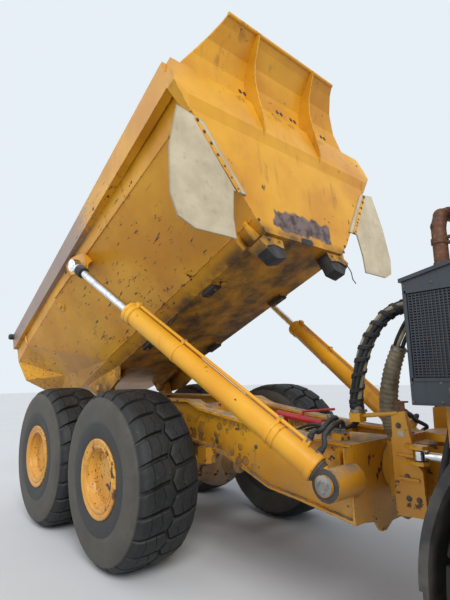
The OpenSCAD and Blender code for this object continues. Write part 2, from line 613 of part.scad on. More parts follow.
// Hood, a side view cut by a plan and a front view, once for its outside and once inside
hood_pin = [7300, 1560];
module hood_form(side, plan, front) intersection() {
  slab(side, -900, 900);
  translate([0, 0, 1300]) linear_extrude(1600) polygon(mirrored(plan));
  run(facing(front), 5100, 7600);
}
module hood() color("#d99e1e") ahead() difference() {
  union() {
    difference() {
      hood_form([[5265, 1760], [7330, 1620], [7420, 1950], [7365, 2330], [7180, 2470], [5265, 2680]],
        [[5265, 730], [6700, 730], [7250, 660], [7450, 560]],
        [[730, 1400], [730, 2330], [600, 2700]]);
      hood_form([[5200, 1400], [7270, 1400], [7372, 1950], [7322, 2308], [7160, 2428], [5200, 2640]],
        [[5200, 690], [6690, 690], [7230, 622], [7400, 540]],
        [[690, 1300], [690, 2318], [568, 2660]]);
    }
    both() {
      cross_pin(hood_pin[0], hood_pin[1], 42, 590, 630);
      slab([[7262, 1560], [7338, 1560], [7336, 1660], [7262, 1660]], 590, 630);
    }
  }
  // slots of the front grille
  for (i = [0 : 6]) box([7250, -480, 1760 + i * 72], [7480, 480, 1802 + i * 72]);
  cross_pin(hood_pin[0], hood_pin[1], 18 + pin_play, -760, 760);
}

// Outfit of the front half
module fenders() color("#2a2927") put() both() {
  difference() {
    union() {
      cross_pin(front_x, axle_z, fender_r, 870, 1560, $fn = 180);
      cross_pin(front_x, axle_z, fender_r + 18, 1535, 1560, $fn = 180);
    }
    cross_pin(front_x, axle_z, fender_r - 30, 860, 1570, $fn = 180);
    box([front_x - 1200, 800, axle_z - 1200], [front_x + 1200, 1700, axle_z]);
    box([front_x, 800, axle_z - 10], [front_x + 1200, 1700, axle_z + 395]);
  }
  // flap that hangs behind the wheel
  box([front_x - fender_r, 870, 560], [front_x - fender_r + 30, 1560, axle_z]);
  // stays to the frame
  box([front_x - 440, 600, 1580], [front_x - 340, 900, 1700]);
  box([front_x - 440, 872, 1580], [front_x - 340, 900, axle_z + fender_r - 105]);
  box([front_x + 360, 400, 1400], [front_x + 460, 900, 1470]);
  box([front_x + 360, 872, 1400], [front_x + 460, 900, axle_z + fender_r - 110]);
}
module steps() color("#2d2d2d") put() both() {
  f = front_x;
  box([f + 1170, 1150, 1250], [f + 1860, 1180, deck_z + 8]);
  for (i = [0 : 3]) box([f + 1260, 1180, 620 + i * 340], [f + 1760, 1600, 660 + i * 340]);
  for (x = [1240, 1760]) box([f + x, 1170, 600], [f + x + 30, 1220, deck_z + 8]);
  box([f + 820, 760, deck_z], [f + 1860, 1700, deck_z + 40]);
  box([f - 540, 870, deck_z], [f + 820, 1700, deck_z + 40]);
  // posts from the fender up to the deck
  difference() {
    for (x = [-340, 0, 340]) box([f + x - 30, 1000, axle_z + 850], [f + x + 30, 1060, deck_z + 5]);
    cross_pin(f, axle_z, fender_r, 990, 1070, $fn = 180);
  }
}
rail_y = 1660;
// hand rail posts, and rails [from, to, above the deck], from the front axle
module handrails() color("#3b3d40") put() both() {
  f = front_x;
  d = deck_z + 40;
  for (x = [-540, 540, 860, 1260, 1810])
    bar([f + x, rail_y, d], [f + x, rail_y, d + 866], 19);
  for (p = [[-540, 540, 850], [860, 1810, 850], [860, 1810, 400]])
    bar([f + p[0], rail_y, d + p[2]], [f + p[1], rail_y, d + p[2]], 16);
}
roof_cut = [[3195, 2400], [3615, 2400], [3615, 2665], [3195, 2585]];
module cooler_housing() color("#303337") ahead() difference() {
  union() {
    slab([[3210, 1770], [3600, 1770], [3600, 2650], [3210, 2575]], -1050, -250);
    slab([[3195, 2560], [3615, 2640], [3615, 2665], [3195, 2585]], -1065, -235);
  }
  // recess of the grille and a pocket below it
  box([3235, -1055, 1935], [3575, -990, 2485]);
  box([3420, -1055, 1805], [3540, -1000, 1885]);
}
module cooler_grille() color("#1e2022") ahead() {
  for (i = [0 : 12]) box([3245 + i * 26, -1040, 1935], [3253 + i * 26, -1028, 2485]);
  for (i = [0 : 19]) box([3235, -1028, 1945 + i * 28], [3575, -1020, 1953 + i * 28]);
}
stack_pts = [[3345, -700, 2500], [3345, -700, 2990], [3352, -655, 3078], [3368, -560, 3110],
  [3400, -380, 3110]];
module exhaust_stack() color("#6b3c22") ahead() difference() {
  union() {
    for (i = [0 : 3]) bar(stack_pts[i], stack_pts[i + 1], 50);
    for (i = [1 : 3]) translate(stack_pts[i]) sphere(r = 53);
    translate([3345, -700, 2860]) cylinder(r = 58, h = 40);
    translate([3345, -700, 2500]) cylinder(r = 85, h = 125);
  }
  slab(roof_cut, -1065, -235);
}
module side_tanks() color("#2f3235") ahead() both() {
  run([[440, 1120], [500, 1060], [1080, 1060], [1150, 1130], [1150, 1530], [1090, 1600],
    [500, 1600], [440, 1540]], 5640, 6900);
  for (x = [5900, 6600]) box([x, 400, 1100], [x + 100, 450, 1380]);
}
module bumper_form() intersection() {
  slab([[7280, 900], [7540, 950], [7610, 1200], [7575, 1470], [7540, 1500], [7280, 1500]],
    -1350, 1350);
  translate([0, 0, 800]) linear_extrude(800)
    polygon(mirrored([[7270, 1360], [7400, 1360], [7590, 1180], [7625, 900]]));
}
module bumper() color("#2b2b2b") ahead() difference() {
  union() {
    bumper_form();
    both() {
      // ear and pin of the hood's hinge
      slab([[7262, 1490], [7338, 1490], [7325, 1590], [7275, 1590]], 545, 585);
      cross_pin(hood_pin[0], hood_pin[1], 18, 550, 640);
      // towing eye
      box([7290, 470, 770], [7430, 530, 930]);
    }
  }
  cross_pin(7360, 830, 30, -540, 540);
}
module lamps() color("#e8e6de") ahead() difference() {
  both() {
    for (y = [860, 1050]) translate([7540, y, 1290]) rotate([0, 90, 0]) cylinder(r = 78, h = 85);
    for (y = [300, 680]) translate([5120, y, cab_top - 48]) rotate([0, 90, 0])
      cylinder(r = 44, h = 90);
  }
  bumper_form();
  cab_roof();
}

rear_chassis();
walking_beams();
rear_axles();
bed_tub();
spill_guard();
side_flaps();
bed_brackets();
bed_pads();
hoist_barrel_r();
hoist_barrel_l();
hoist_rod_r();
hoist_rod_l();
knuckle();
hose_bundle();
front_chassis();
front_axle();
engine_block();
cab_shell();
cab_glass();
cab_interior();
cab_door();
door_glass();
hood();
fenders();
steps();
handrails();
exhaust_stack();
cooler_housing();
cooler_grille();
side_tanks();
bumper();
lamps();
mirrors();
red_strut();
steer_barrel_r();
steer_barrel_l();
steer_rod_r();
steer_rod_l();
tyre_fr();
tyre_fl();
tyre_mr();
tyre_ml();
tyre_rr();
tyre_rl();
rim_fr();
rim_fl();
rim_mr();
rim_ml();
rim_rr();
rim_rl();
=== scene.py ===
import json
import math
import random

import bmesh
import bpy
from mathutils import Matrix, Vector


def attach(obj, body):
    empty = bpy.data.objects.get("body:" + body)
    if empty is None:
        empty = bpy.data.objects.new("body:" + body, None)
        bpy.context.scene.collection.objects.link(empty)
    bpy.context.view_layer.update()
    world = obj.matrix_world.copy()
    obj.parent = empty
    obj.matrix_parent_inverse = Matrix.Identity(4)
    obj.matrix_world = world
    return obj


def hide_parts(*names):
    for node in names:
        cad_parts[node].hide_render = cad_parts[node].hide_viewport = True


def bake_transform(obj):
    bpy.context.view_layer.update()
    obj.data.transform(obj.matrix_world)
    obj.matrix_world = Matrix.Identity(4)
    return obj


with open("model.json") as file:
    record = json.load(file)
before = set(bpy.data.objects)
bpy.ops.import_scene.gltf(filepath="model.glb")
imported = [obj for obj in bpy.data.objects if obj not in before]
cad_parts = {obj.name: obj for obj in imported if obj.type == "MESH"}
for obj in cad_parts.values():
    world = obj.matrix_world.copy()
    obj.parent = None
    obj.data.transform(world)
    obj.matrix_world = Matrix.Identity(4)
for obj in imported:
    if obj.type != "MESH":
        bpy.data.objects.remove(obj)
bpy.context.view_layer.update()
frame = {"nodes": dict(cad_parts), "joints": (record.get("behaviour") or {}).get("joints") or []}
nodes = frame["nodes"]
joints = {joint["name"]: joint for joint in frame["joints"]}

# Places are metres: x forward from the middle axle, y to the left, z up. The driving places are
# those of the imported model's joints.
ORIGIN_X = -joints["roll_mr"]["pos_m"][0]


def joint_place(name):
    """Where a joint sits."""
    x, y, z = joints[name]["pos_m"]
    return Vector((x + ORIGIN_X, y, z))


TYRE_SIDE = -joints["roll_mr"]["pos_m"][1]
TYRE_RADIUS = joints["roll_mr"]["pos_m"][2]
TYRE_HALF_WIDTH = 0.37
AXLES = {axle: joints["roll_" + axle + "r"]["pos_m"][0] + ORIGIN_X for axle in "fmr"}
# each wheel: its name's end, how far forward it stands, its side
WHEELS = [(axle + letter, x, side) for axle, x in AXLES.items()
          for letter, side in (("r", -1), ("l", 1))]
HINGE = joint_place("bed_tip")
BED_ANGLE = math.radians(-joints["bed_tip"]["range_deg"][0])
HOIST_LOW = joint_place("hoist_swing_right")
HOIST_UP = Vector((-0.745, -1.69, 3.398))


def at(x, y, z):
    """A place on the truck, in the frame's own coordinates."""
    return Vector((x - ORIGIN_X, y, z))


def on_bed(x, y, z):
    """A place on the bed, given as the bed lies flat, carried to where it stands raised."""
    v = Vector((x, y, z)) - HINGE
    c = math.cos(BED_ANGLE)
    s = math.sin(BED_ANGLE)
    return at(HINGE.x + v.x * c - v.z * s, v.y, HINGE.z + v.x * s + v.z * c)


# Camera at the photograph's place and angle
CAMERA_PLACE = (4.5571, -3.7783, 1.967)
CAMERA_YAW = 2.4239
CAMERA_PITCH = 0.1753
CAMERA_ROLL = -0.0175
FOCAL_PIXELS = 432.84
LONG_SIDE_PIXELS = 600


def make_camera():
    """The camera at the photograph's place, with its roll and its lens."""
    data = bpy.data.cameras.new("camera")
    data.sensor_width = 36
    data.lens = FOCAL_PIXELS * data.sensor_width / LONG_SIDE_PIXELS
    data.clip_end = 200
    camera = bpy.data.objects.new("camera", data)
    bpy.context.scene.collection.objects.link(camera)
    level = math.cos(CAMERA_PITCH)
    forward = Vector((level * math.cos(CAMERA_YAW), level * math.sin(CAMERA_YAW),
                      math.sin(CAMERA_PITCH)))
    side = forward.cross(Vector((0, 0, 1))).normalized()
    up = side.cross(forward)
    c = math.cos(CAMERA_ROLL)
    s = math.sin(CAMERA_ROLL)
    turn = Matrix((side * c + up * s, up * c - side * s, -forward)).transposed().to_4x4()
    camera.matrix_world = Matrix.Translation(at(*CAMERA_PLACE)) @ turn
    bpy.context.scene.camera = camera


# Node helpers
def add(tree, kind, inputs=None, **settings):
    """A new node: settings are its own values, inputs are sockets' values or links."""
    n = tree.nodes.new(kind)
    for key, value in settings.items():
        setattr(n, key, value)
    for key, value in (inputs or {}).items():
        if isinstance(value, bpy.types.NodeSocket):
            tree.links.new(value, n.inputs[key])
        else:
            n.inputs[key].default_value = value
    return n


def calc(tree, operation, a, b=0.0, c=0.0, clamp=False):
    """A Math node of up to three values; c is what MULTIPLY_ADD adds."""
    n = add(tree, "ShaderNodeMath", {0: a, 1: b, 2: c}, operation=operation, use_clamp=clamp)
    return n.outputs[0]


def times(tree, a, b):
    """Two values multiplied."""
    return calc(tree, "MULTIPLY", a, b)


def plus(tree, a, b):
    """Two values added."""
    return calc(tree, "ADD", a, b)


def ramp(tree, value, low, high):
    """0 below low, 1 above high and smooth between; low may be the larger."""
    n = add(tree, "ShaderNodeMapRange", {"Value": value, "From Min": low, "From Max": high},
            interpolation_type="SMOOTHSTEP")
    return n.outputs["Result"]


def mix(tree, factor, a, b):
    """Colour a where the factor is 0 and colour b where it is 1."""
    n = add(tree, "ShaderNodeMix", {"Factor": factor}, data_type="RGBA")
    for name, value in (("A_Color", a), ("B_Color", b)):
        socket = next(i for i in n.inputs if i.identifier == name)
        if isinstance(value, bpy.types.NodeSocket):
            tree.links.new(value, socket)
        else:
            socket.default_value = (*value, 1)
    return next(o for o in n.outputs if o.identifier == "Result_Color")


def noise(tree, vector, scale, detail=3.0, rough=0.55):
    """Cloudy noise about 0.5."""
    n = add(tree, "ShaderNodeTexNoise",
            {"Vector": vector, "Scale": scale, "Detail": detail, "Roughness": rough})
    return n.outputs["Fac"]


def stretched(tree, vector, scale):
    """A place scaled by its own number on each axis."""
    return add(tree, "ShaderNodeVectorMath", {0: vector, 1: scale}, operation="MULTIPLY").outputs[0]


def own_place(tree):
    """Where a point lies in its piece's own coordinates, in metres."""
    return add(tree, "ShaderNodeTexCoord").outputs["Object"]


def over(tree, base, mask, share, colour):
    """A colour laid over another where a mask says, up to a share."""
    return mix(tree, times(tree, mask, share), base, colour)


def group(name, inputs, outputs):
    """An empty shader node group: inputs are (name, start value), outputs are (name, kind)."""
    tree = bpy.data.node_groups.new(name, "ShaderNodeTree")
    for label, start in inputs:
        s = tree.interface.new_socket(label, in_out="INPUT", socket_type="NodeSocketFloat")
        s.default_value = start
    for label, kind in outputs:
        tree.interface.new_socket(label, in_out="OUTPUT", socket_type=kind)
    return tree, tree.nodes.new("NodeGroupInput"), tree.nodes.new("NodeGroupOutput")


def use(tree, name, **inputs):
    """A group placed in a material: its first output."""
    n = tree.nodes.new("ShaderNodeGroup")
    n.node_tree = bpy.data.node_groups[name]
    for key, value in inputs.items():
        socket = n.inputs[key.replace("_", " ")]
        if isinstance(value, bpy.types.NodeSocket):
            tree.links.new(value, socket)
        else:
            socket.default_value = value
    return n.outputs[0]


# Effects that several finishes share
FLOAT = "NodeSocketFloat"


def make_edge_wear():
    """Bare metal along edges, broken up by noise."""
    tree, given, out = group("edge wear", [("width", 0.012), ("breakup", 26.0), ("amount", 0.5)],
                             [("mask", FLOAT)])
    rounded = add(tree, "ShaderNodeBevel", {"Radius": given.outputs["width"]}, samples=4)
    flat = add(tree, "ShaderNodeNewGeometry")
    facing = add(tree, "ShaderNodeVectorMath",
                 {0: rounded.outputs[0], 1: flat.outputs["Normal"]}, operation="DOT_PRODUCT")
    edge = ramp(tree, facing.outputs["Value"], 0.995, 0.86)
    place = own_place(tree)
    broken = noise(tree, place, given.outputs["breakup"], 5.0, 0.65)
    level = calc(tree, "MULTIPLY_ADD", given.outputs["amount"], -0.5, 0.75)
    worn = ramp(tree, calc(tree, "SUBTRACT", broken, level), 0.0, 0.06)
    tree.links.new(times(tree, edge, worn), out.inputs["mask"])


def make_chips():
    """Chipped spots, denser in some areas than in others."""
    tree, given, out = group("chips", [("size", 9.0), ("cover", 0.3)], [("mask", FLOAT)])
    place = own_place(tree)
    patches = noise(tree, place, given.outputs["size"], 7.0, 0.62)
    areas = noise(tree, place, 0.9, 2.0)
    sum_of = plus(tree, times(tree, patches, 0.7), times(tree, areas, 0.3))
    level = calc(tree, "MULTIPLY_ADD", given.outputs["cover"], -0.3, 0.68)
    cut = calc(tree, "SUBTRACT", sum_of, level)
    tree.links.new(ramp(tree, cut, 0.0, 0.012), out.inputs["mask"])


def make_streaks():
    """Runs of dirt down the plates."""
    tree, given, out = group("streaks", [("width", 9.0), ("cover", 0.4)], [("mask", FLOAT)])
    place = own_place(tree)
    long = stretched(tree, place, (1.0, 1.0, 0.12))
    lines = noise(tree, long, given.outputs["width"], 4.0, 0.6)
    cloud = noise(tree, place, 1.6, 3.0)
    both_of = times(tree, lines, plus(tree, cloud, 0.5))
    level = calc(tree, "MULTIPLY_ADD", given.outputs["cover"], -0.35, 0.68)
    tree.links.new(ramp(tree, calc(tree, "SUBTRACT", both_of, level), 0.0, 0.2), out.inputs["mask"])


def make_dust():
    """Dust and mud that lies on what faces up, and thickens towards the ground."""
    tree, given, out = group("dust", [("on top", 0.6), ("low down", 0.4)], [("mask", FLOAT)])
    coords = add(tree, "ShaderNodeTexCoord")
    up = add(tree, "ShaderNodeSeparateXYZ", {0: coords.outputs["Normal"]}).outputs["Z"]
    height = add(tree, "ShaderNodeSeparateXYZ", {0: coords.outputs["Object"]}).outputs["Z"]
    cloud = noise(tree, coords.outputs["Object"], 5.0, 6.0, 0.62)
    top = times(tree, ramp(tree, up, 0.3, 0.95), given.outputs["on top"])
    low = times(tree, ramp(tree, height, 1.7, 0.3), given.outputs["low down"])
    both_of = times(tree, plus(tree, top, low), ramp(tree, cloud, 0.3, 0.62))
    tree.links.new(calc(tree, "MINIMUM", both_of, 1.0), out.inputs["mask"])


def make_plate_waves():
    """Height of rolled plate: slow waves and the skin of sprayed paint."""
    tree, given, out = group("plate waves", [("waves", 1.0), ("skin", 1.0)], [("height", FLOAT)])
    place = own_place(tree)
    slow = times(tree, noise(tree, place, 2.4, 2.0), given.outputs["waves"])
    fine = times(tree, noise(tree, place, 160.0, 2.0), given.outputs["skin"])
    fine = times(tree, fine, 0.04)
    tree.links.new(plus(tree, slow, fine), out.inputs["height"])


def make_bed_place():
    """Where a point lies on the bed, as if the bed lay flat, in metres."""
    tree, _, out = group("bed place", [], [("place", "NodeSocketVector")])
    coords = own_place(tree)
    turned = add(tree, "ShaderNodeVectorRotate",
                 {"Vector": coords, "Center": at(*HINGE), "Angle": BED_ANGLE},
                 rotation_type="Y_AXIS")
    moved = add(tree, "ShaderNodeVectorMath", {0: turned.outputs[0], 1: (ORIGIN_X, 0, 0)},
                operation="ADD")
    tree.links.new(moved.outputs[0], out.inputs["place"])


for make in (make_edge_wear, make_chips, make_streaks, make_dust, make_plate_waves, make_bed_place):
    make()


# Finishes
def finish(name):
    """A new material: the material, its tree and its shader."""
    m = bpy.data.materials.new(name)
    m.use_nodes = True
    tree = m.node_tree
    return m, tree, tree.nodes["Principled BSDF"]


def bump(tree, shader, height, distance):
    """Relief of a surface from a height."""
    n = add(tree, "ShaderNodeBump", {"Height": height, "Distance": distance})
    tree.links.new(n.outputs[0], shader.inputs["Normal"])


def roughness(tree, shader, value, low, high):
    """Roughness that goes from low to high as a value goes from 0 to 1."""
    n = add(tree, "ShaderNodeMapRange", {"Value": value, "To Min": low, "To Max": high})
    tree.links.new(n.outputs["Result"], shader.inputs["Roughness"])


RUST = (0.13, 0.045, 0.018)
DARK_RUST = (0.045, 0.024, 0.015)
DUST_GREY = (0.2, 0.17, 0.13)
YELLOW = (0.70, 0.345, 0.016)
DEEP_YELLOW = (0.54, 0.225, 0.007)


def painted_colour(tree, colour, deep, wear=0.5, chips=0.3, streaks=0.4, dust=(0.5, 0.35)):
    """Colour and roughness of old paint on steel."""
    place = own_place(tree)
    tone = ramp(tree, noise(tree, place, 1.3, 5.0), 0.3, 0.7)
    c = mix(tree, tone, deep, colour)
    drawn = times(tree, use(tree, "streaks", width=9.0, cover=streaks), 0.5)
    c = mix(tree, drawn, c, (deep[0] * 0.42, deep[1] * 0.42, deep[2] * 0.6 + 0.008))
    lying = use(tree, "dust", on_top=dust[0], low_down=dust[1])
    c = mix(tree, lying, c, DUST_GREY)
    worn = calc(tree, "MAXIMUM", use(tree, "edge wear", amount=wear), use(tree, "chips", cover=chips))
    metal = mix(tree, ramp(tree, noise(tree, place, 14.0, 3.0), 0.35, 0.65), DARK_RUST, RUST)
    c = mix(tree, worn, c, metal)
    rough = calc(tree, "MULTIPLY_ADD", noise(tree, place, 3.0, 3.0), 0.22, 0.26)
    rough = plus(tree, rough, times(tree, worn, 0.35))
    rough = calc(tree, "ADD", rough, times(tree, lying, 0.3), clamp=True)
    return c, rough, worn


def paint_bump(tree, shader, bare, depth, distance, waves=1.0):
    """The paint's skin on the plate's waves, lower by a depth where the paint is gone."""
    plate = use(tree, "plate waves", waves=waves, skin=1.0)
    bump(tree, shader, calc(tree, "SUBTRACT", plate, times(tree, bare, depth)), distance)


def painted(name, colour, deep, waves=0.004, **wear):
    """A material of old paint; waves is the height of the plate's unevenness."""
    m, tree, shader = finish(name)
    c, rough, worn = painted_colour(tree, colour, deep, **wear)
    tree.links.new(c, shader.inputs["Base Color"])
    tree.links.new(rough, shader.inputs["Roughness"])
    paint_bump(tree, shader, worn, 0.12, waves)
    return m


def masked_box(tree, place, low, high, soft=0.03, ragged=0.0):
    """1 inside a box of places and 0 outside, with a ragged edge."""
    if ragged:
        shake = add(tree, "ShaderNodeTexNoise", {"Vector": place, "Scale": 6.0, "Detail": 5.0})
        moved = add(tree, "ShaderNodeVectorMath", {0: shake.outputs["Color"], 1: (0.5, 0.5, 0.5)},
                    operation="SUBTRACT").outputs[0]
        place = add(tree, "ShaderNodeVectorMath", {0: stretched(tree, moved, (ragged,) * 3), 1: place},
                    operation="ADD").outputs[0]
    parts = add(tree, "ShaderNodeSeparateXYZ", {0: place})
    mask = None
    for axis in range(3):
        if low[axis] is None:
            continue
        v = parts.outputs[axis]
        inside = times(tree, ramp(tree, v, low[axis] - soft, low[axis] + soft),
                       ramp(tree, v, high[axis] + soft, high[axis] - soft))
        mask = inside if mask is None else times(tree, mask, inside)
    return mask


def bed_paint():
    """Paint of the bed: rubbed rails, rust along the tail, a rubbed patch on the front wall."""
    m, tree, shader = finish("bed paint")
    c, rough, worn = painted_colour(tree, YELLOW, DEEP_YELLOW, wear=0.5, chips=0.16, streaks=0.22,
                                    dust=(0.25, 0.0))
    place = use(tree, "bed place")
    apart = add(tree, "ShaderNodeSeparateXYZ", {0: place})
    side = calc(tree, "ABSOLUTE", apart.outputs["Y"])
    folded = add(tree, "ShaderNodeCombineXYZ",
                 {"X": apart.outputs["X"], "Y": side, "Z": apart.outputs["Z"]}).outputs[0]
    grain = noise(tree, stretched(tree, place, (3.0, 3.0, 12.0)), 6.0, 6.0, 0.7)
    # the rail's outer face is rubbed to pale metal, more so towards the tail
    rail = masked_box(tree, folded, (-3.6, 1.44, 3.15), (1.9, 1.72, 3.62), 0.012)
    behind = ramp(tree, apart.outputs["X"], 0.9, -1.2)
    rubbed = plus(tree, grain, times(tree, behind, 0.5))
    rubbed = times(tree, rail, ramp(tree, rubbed, 0.58, 0.78))
    c = over(tree, c, rubbed, 0.88, (0.235, 0.18, 0.165))
    tail = times(tree, ramp(tree, apart.outputs["X"], -2.5, -3.45), ramp(tree, grain, 0.5, 0.62))
    c = over(tree, c, tail, 0.75, RUST)
    # painted shade under the floor, towards the middle, broken up by a cloud
    under = times(tree, ramp(tree, apart.outputs["Z"], 2.02, 1.9), ramp(tree, side, 0.95, 0.7))
    shade_breakup = noise(tree, place, 2.6, 6.0, 0.65)
    c = mix(tree, times(tree, under, ramp(tree, shade_breakup, 0.3, 0.7)), c, (0.07, 0.045, 0.022))
    # patch on the front wall where the paint is rubbed through
    patch = masked_box(tree, place, (1.9, -0.5, 1.98), (2.2, 0.46, 2.2), 0.02, 0.22)
    mottled = ramp(tree, noise(tree, place, 9.0, 5.0, 0.65), 0.36, 0.6)
    c = mix(tree, patch, c, mix(tree, mottled, (0.055, 0.035, 0.03), (0.17, 0.12, 0.11)))
    # scraped places with rust in them on the lower side
    scraped = noise(tree, stretched(tree, place, (1.6, 6.0, 6.0)), 3.2, 4.0, 0.55)
    lower = masked_box(tree, folded, (-1.3, 0.78, 1.98), (1.3, 1.42, 2.75), 0.06)
    c = mix(tree, times(tree, times(tree, lower, 0.9), ramp(tree, scraped, 0.645, 0.66)),
            c, DARK_RUST)
    # scratches with rust in them on the side walls
    scratch = noise(tree, stretched(tree, place, (0.9, 5.0, 5.0)), 7.0, 3.0, 0.5)
    marks = times(tree, ramp(tree, scratch, 0.675, 0.69), ramp(tree, apart.outputs["X"], 1.6, 0.6))
    c = mix(tree, marks, c, (0.09, 0.03, 0.015))
    tree.links.new(c, shader.inputs["Base Color"])
    rough = calc(tree, "ADD", rough, times(tree, calc(tree, "MAXIMUM", patch, under), 0.3), clamp=True)
    tree.links.new(rough, shader.inputs["Roughness"])
    paint_bump(tree, shader, worn, 0.1, 0.012)
    return m


def bare_metal(name, colour, rough_low, rough_high, metallic=1.0, scale=30.0, bump_by=0.0006):
    """Metal without paint, clouded and a little dusty."""
    m, tree, shader = finish(name)
    place = own_place(tree)
    cloud = noise(tree, place, scale, 4.0)
    c = mix(tree, ramp(tree, cloud, 0.4, 0.75), colour, tuple(v * 0.62 for v in colour))
    c = mix(tree, times(tree, use(tree, "dust", on_top=0.5, low_down=0.0), 0.3), c, DUST_GREY)
    tree.links.new(c, shader.inputs["Base Color"])
    roughness(tree, shader, cloud, rough_low, rough_high)
    shader.inputs["Metallic"].default_value = metallic
    bump(tree, shader, cloud, bump_by)
    return m


def rubber(name, colour, pale, dusty=0.5, waves=0.002):
    """Rubber or woven hose cover, paler where it is worn."""
    m, tree, shader = finish(name)
    place = own_place(tree)
    cloud = noise(tree, place, 7.0, 6.0, 0.62)
    c = mix(tree, ramp(tree, cloud, 0.38, 0.68), colour, pale)
    c = mix(tree, use(tree, "dust", on_top=dusty, low_down=dusty), c, DUST_GREY)
    tree.links.new(c, shader.inputs["Base Color"])
    roughness(tree, shader, cloud, 0.48, 0.85)
    fine = times(tree, noise(tree, place, 120.0, 2.0), 0.3)
    bump(tree, shader, plus(tree, cloud, fine), waves)
    return m


def rusty_pipe():
    """The exhaust's steel, rusted all over."""
    m, tree, shader = finish("rusty pipe")
    place = own_place(tree)
    cloud = noise(tree, place, 6.0, 7.0, 0.65)
    fine = noise(tree, place, 45.0, 4.0)
    c = mix(tree, ramp(tree, cloud, 0.35, 0.6), (0.05, 0.028, 0.022), (0.19, 0.085, 0.045))
    c = mix(tree, ramp(tree, fine, 0.52, 0.75), c, (0.26, 0.16, 0.11))
    tree.links.new(c, shader.inputs["Base Color"])
    roughness(tree, shader, cloud, 0.5, 0.9)
    shader.inputs["Metallic"].default_value = 0.35
    bump(tree, shader, plus(tree, cloud, times(tree, fine, 0.4)), 0.002)
    return m


def tyre_rubber():
    """Rubber of a tyre: black lugs with dry mud between them, a brown-grey ring on the wall."""
    m, tree, shader = finish("tyre rubber")
    coords = own_place(tree)
    apart = add(tree, "ShaderNodeSeparateXYZ", {0: coords})
    flat = add(tree, "ShaderNodeCombineXYZ", {"X": apart.outputs["X"], "Z": apart.outputs["Z"]})
    r = add(tree, "ShaderNodeVectorMath", {0: flat.outputs[0]}, operation="LENGTH").outputs["Value"]
    aside = calc(tree, "ABSOLUTE", apart.outputs["Y"])
    cloud = noise(tree, coords, 4.0, 7.0, 0.65)
    fine = noise(tree, coords, 38.0, 4.0, 0.6)
    wall = times(tree, ramp(tree, aside, 0.3, 0.35), ramp(tree, r, 0.85, 0.83))
    ring = times(tree, wall, ramp(tree, r, 0.565, 0.58))
    c = mix(tree, ramp(tree, cloud, 0.35, 0.7), (0.0045, 0.005, 0.0055), (0.013, 0.0135, 0.0135))
    c = over(tree, c, wall, 0.8, (0.030, 0.032, 0.030))
    brown = mix(tree, ramp(tree, cloud, 0.3, 0.7), (0.046, 0.042, 0.032), (0.085, 0.076, 0.058))
    c = over(tree, c, ring, 0.85, brown)
    # dry mud in the grooves and worn grey tops
    deep = times(tree, ramp(tree, r, 0.9, 0.875), ramp(tree, aside, 0.33, 0.28))
    deep = times(tree, deep, ramp(tree, fine, 0.35, 0.6))
    c = over(tree, c, deep, 0.35, (0.05, 0.045, 0.035))
    top = times(tree, ramp(tree, r, 0.905, 0.915), ramp(tree, fine, 0.48, 0.68))
    c = over(tree, c, top, 0.4, (0.030, 0.030, 0.029))
    spots = ramp(tree, noise(tree, coords, 11.0, 5.0, 0.6), 0.66, 0.74)
    c = over(tree, c, spots, 0.4, (0.10, 0.09, 0.07))
    edge = use(tree, "edge wear", width=0.01, amount=0.55)
    c = over(tree, c, edge, 0.3, (0.06, 0.06, 0.058))
    tree.links.new(c, shader.inputs["Base Color"])
    roughness(tree, shader, cloud, 0.45, 0.85)
    # fine rings pressed into the wall
    rings = times(tree, calc(tree, "SINE", times(tree, r, 520.0)), 0.12)
    height = plus(tree, times(tree, rings, wall), times(tree, fine, 0.7))
    bump(tree, shader, plus(tree, height, cloud), 0.004)
    return m


def rim_paint():
    """Gold rim paint with rust in small specks."""
    m, tree, shader = finish("rim paint")
    c, rough, worn = painted_colour(tree, (0.66, 0.33, 0.035), (0.5, 0.2, 0.012), wear=0.5,
                                    chips=0.25, streaks=0.3, dust=(0.2, 0.1))
    place = own_place(tree)
    specks = noise(tree, place, 34.0, 3.0, 0.6)
    areas = noise(tree, place, 5.0, 3.0)
    dots = ramp(tree, plus(tree, specks, times(tree, areas, 0.3)), 0.79, 0.82)
    c = mix(tree, dots, c, (0.075, 0.03, 0.015))
    tree.links.new(c, shader.inputs["Base Color"])
    tree.links.new(rough, shader.inputs["Roughness"])
    paint_bump(tree, shader, calc(tree, "MAXIMUM", worn, dots), 0.3, 0.003, waves=0.3)
    return m


def glass():
    """Tinted panes with a thin film of dirt."""
    m, tree, shader = finish("tinted glass")
    place = own_place(tree)
    film = noise(tree, place, 3.0, 5.0)
    roughness(tree, shader, film, 0.02, 0.16)
    c = mix(tree, film, (0.55, 0.62, 0.62), (0.7, 0.75, 0.73))
    tree.links.new(c, shader.inputs["Base Color"])
    shader.inputs["IOR"].default_value = 1.45
    shader.inputs["Transmission Weight"].default_value = 1.0
    return m


def lamp_lens():
    """Ribbed clear lens."""
    m, tree, shader = finish("lamp lens")
    place = own_place(tree)
    ribs = add(tree, "ShaderNodeTexWave", {"Vector": place, "Scale": 22.0}, bands_direction="Y")
    c = mix(tree, ribs.outputs["Fac"], (0.6, 0.62, 0.62), (0.85, 0.86, 0.85))
    tree.links.new(c, shader.inputs["Base Color"])
    roughness(tree, shader, noise(tree, place, 20.0), 0.08, 0.3)
    shader.inputs["Coat Weight"].default_value = 0.6
    bump(tree, shader, ribs.outputs["Fac"], 0.002)
    return m


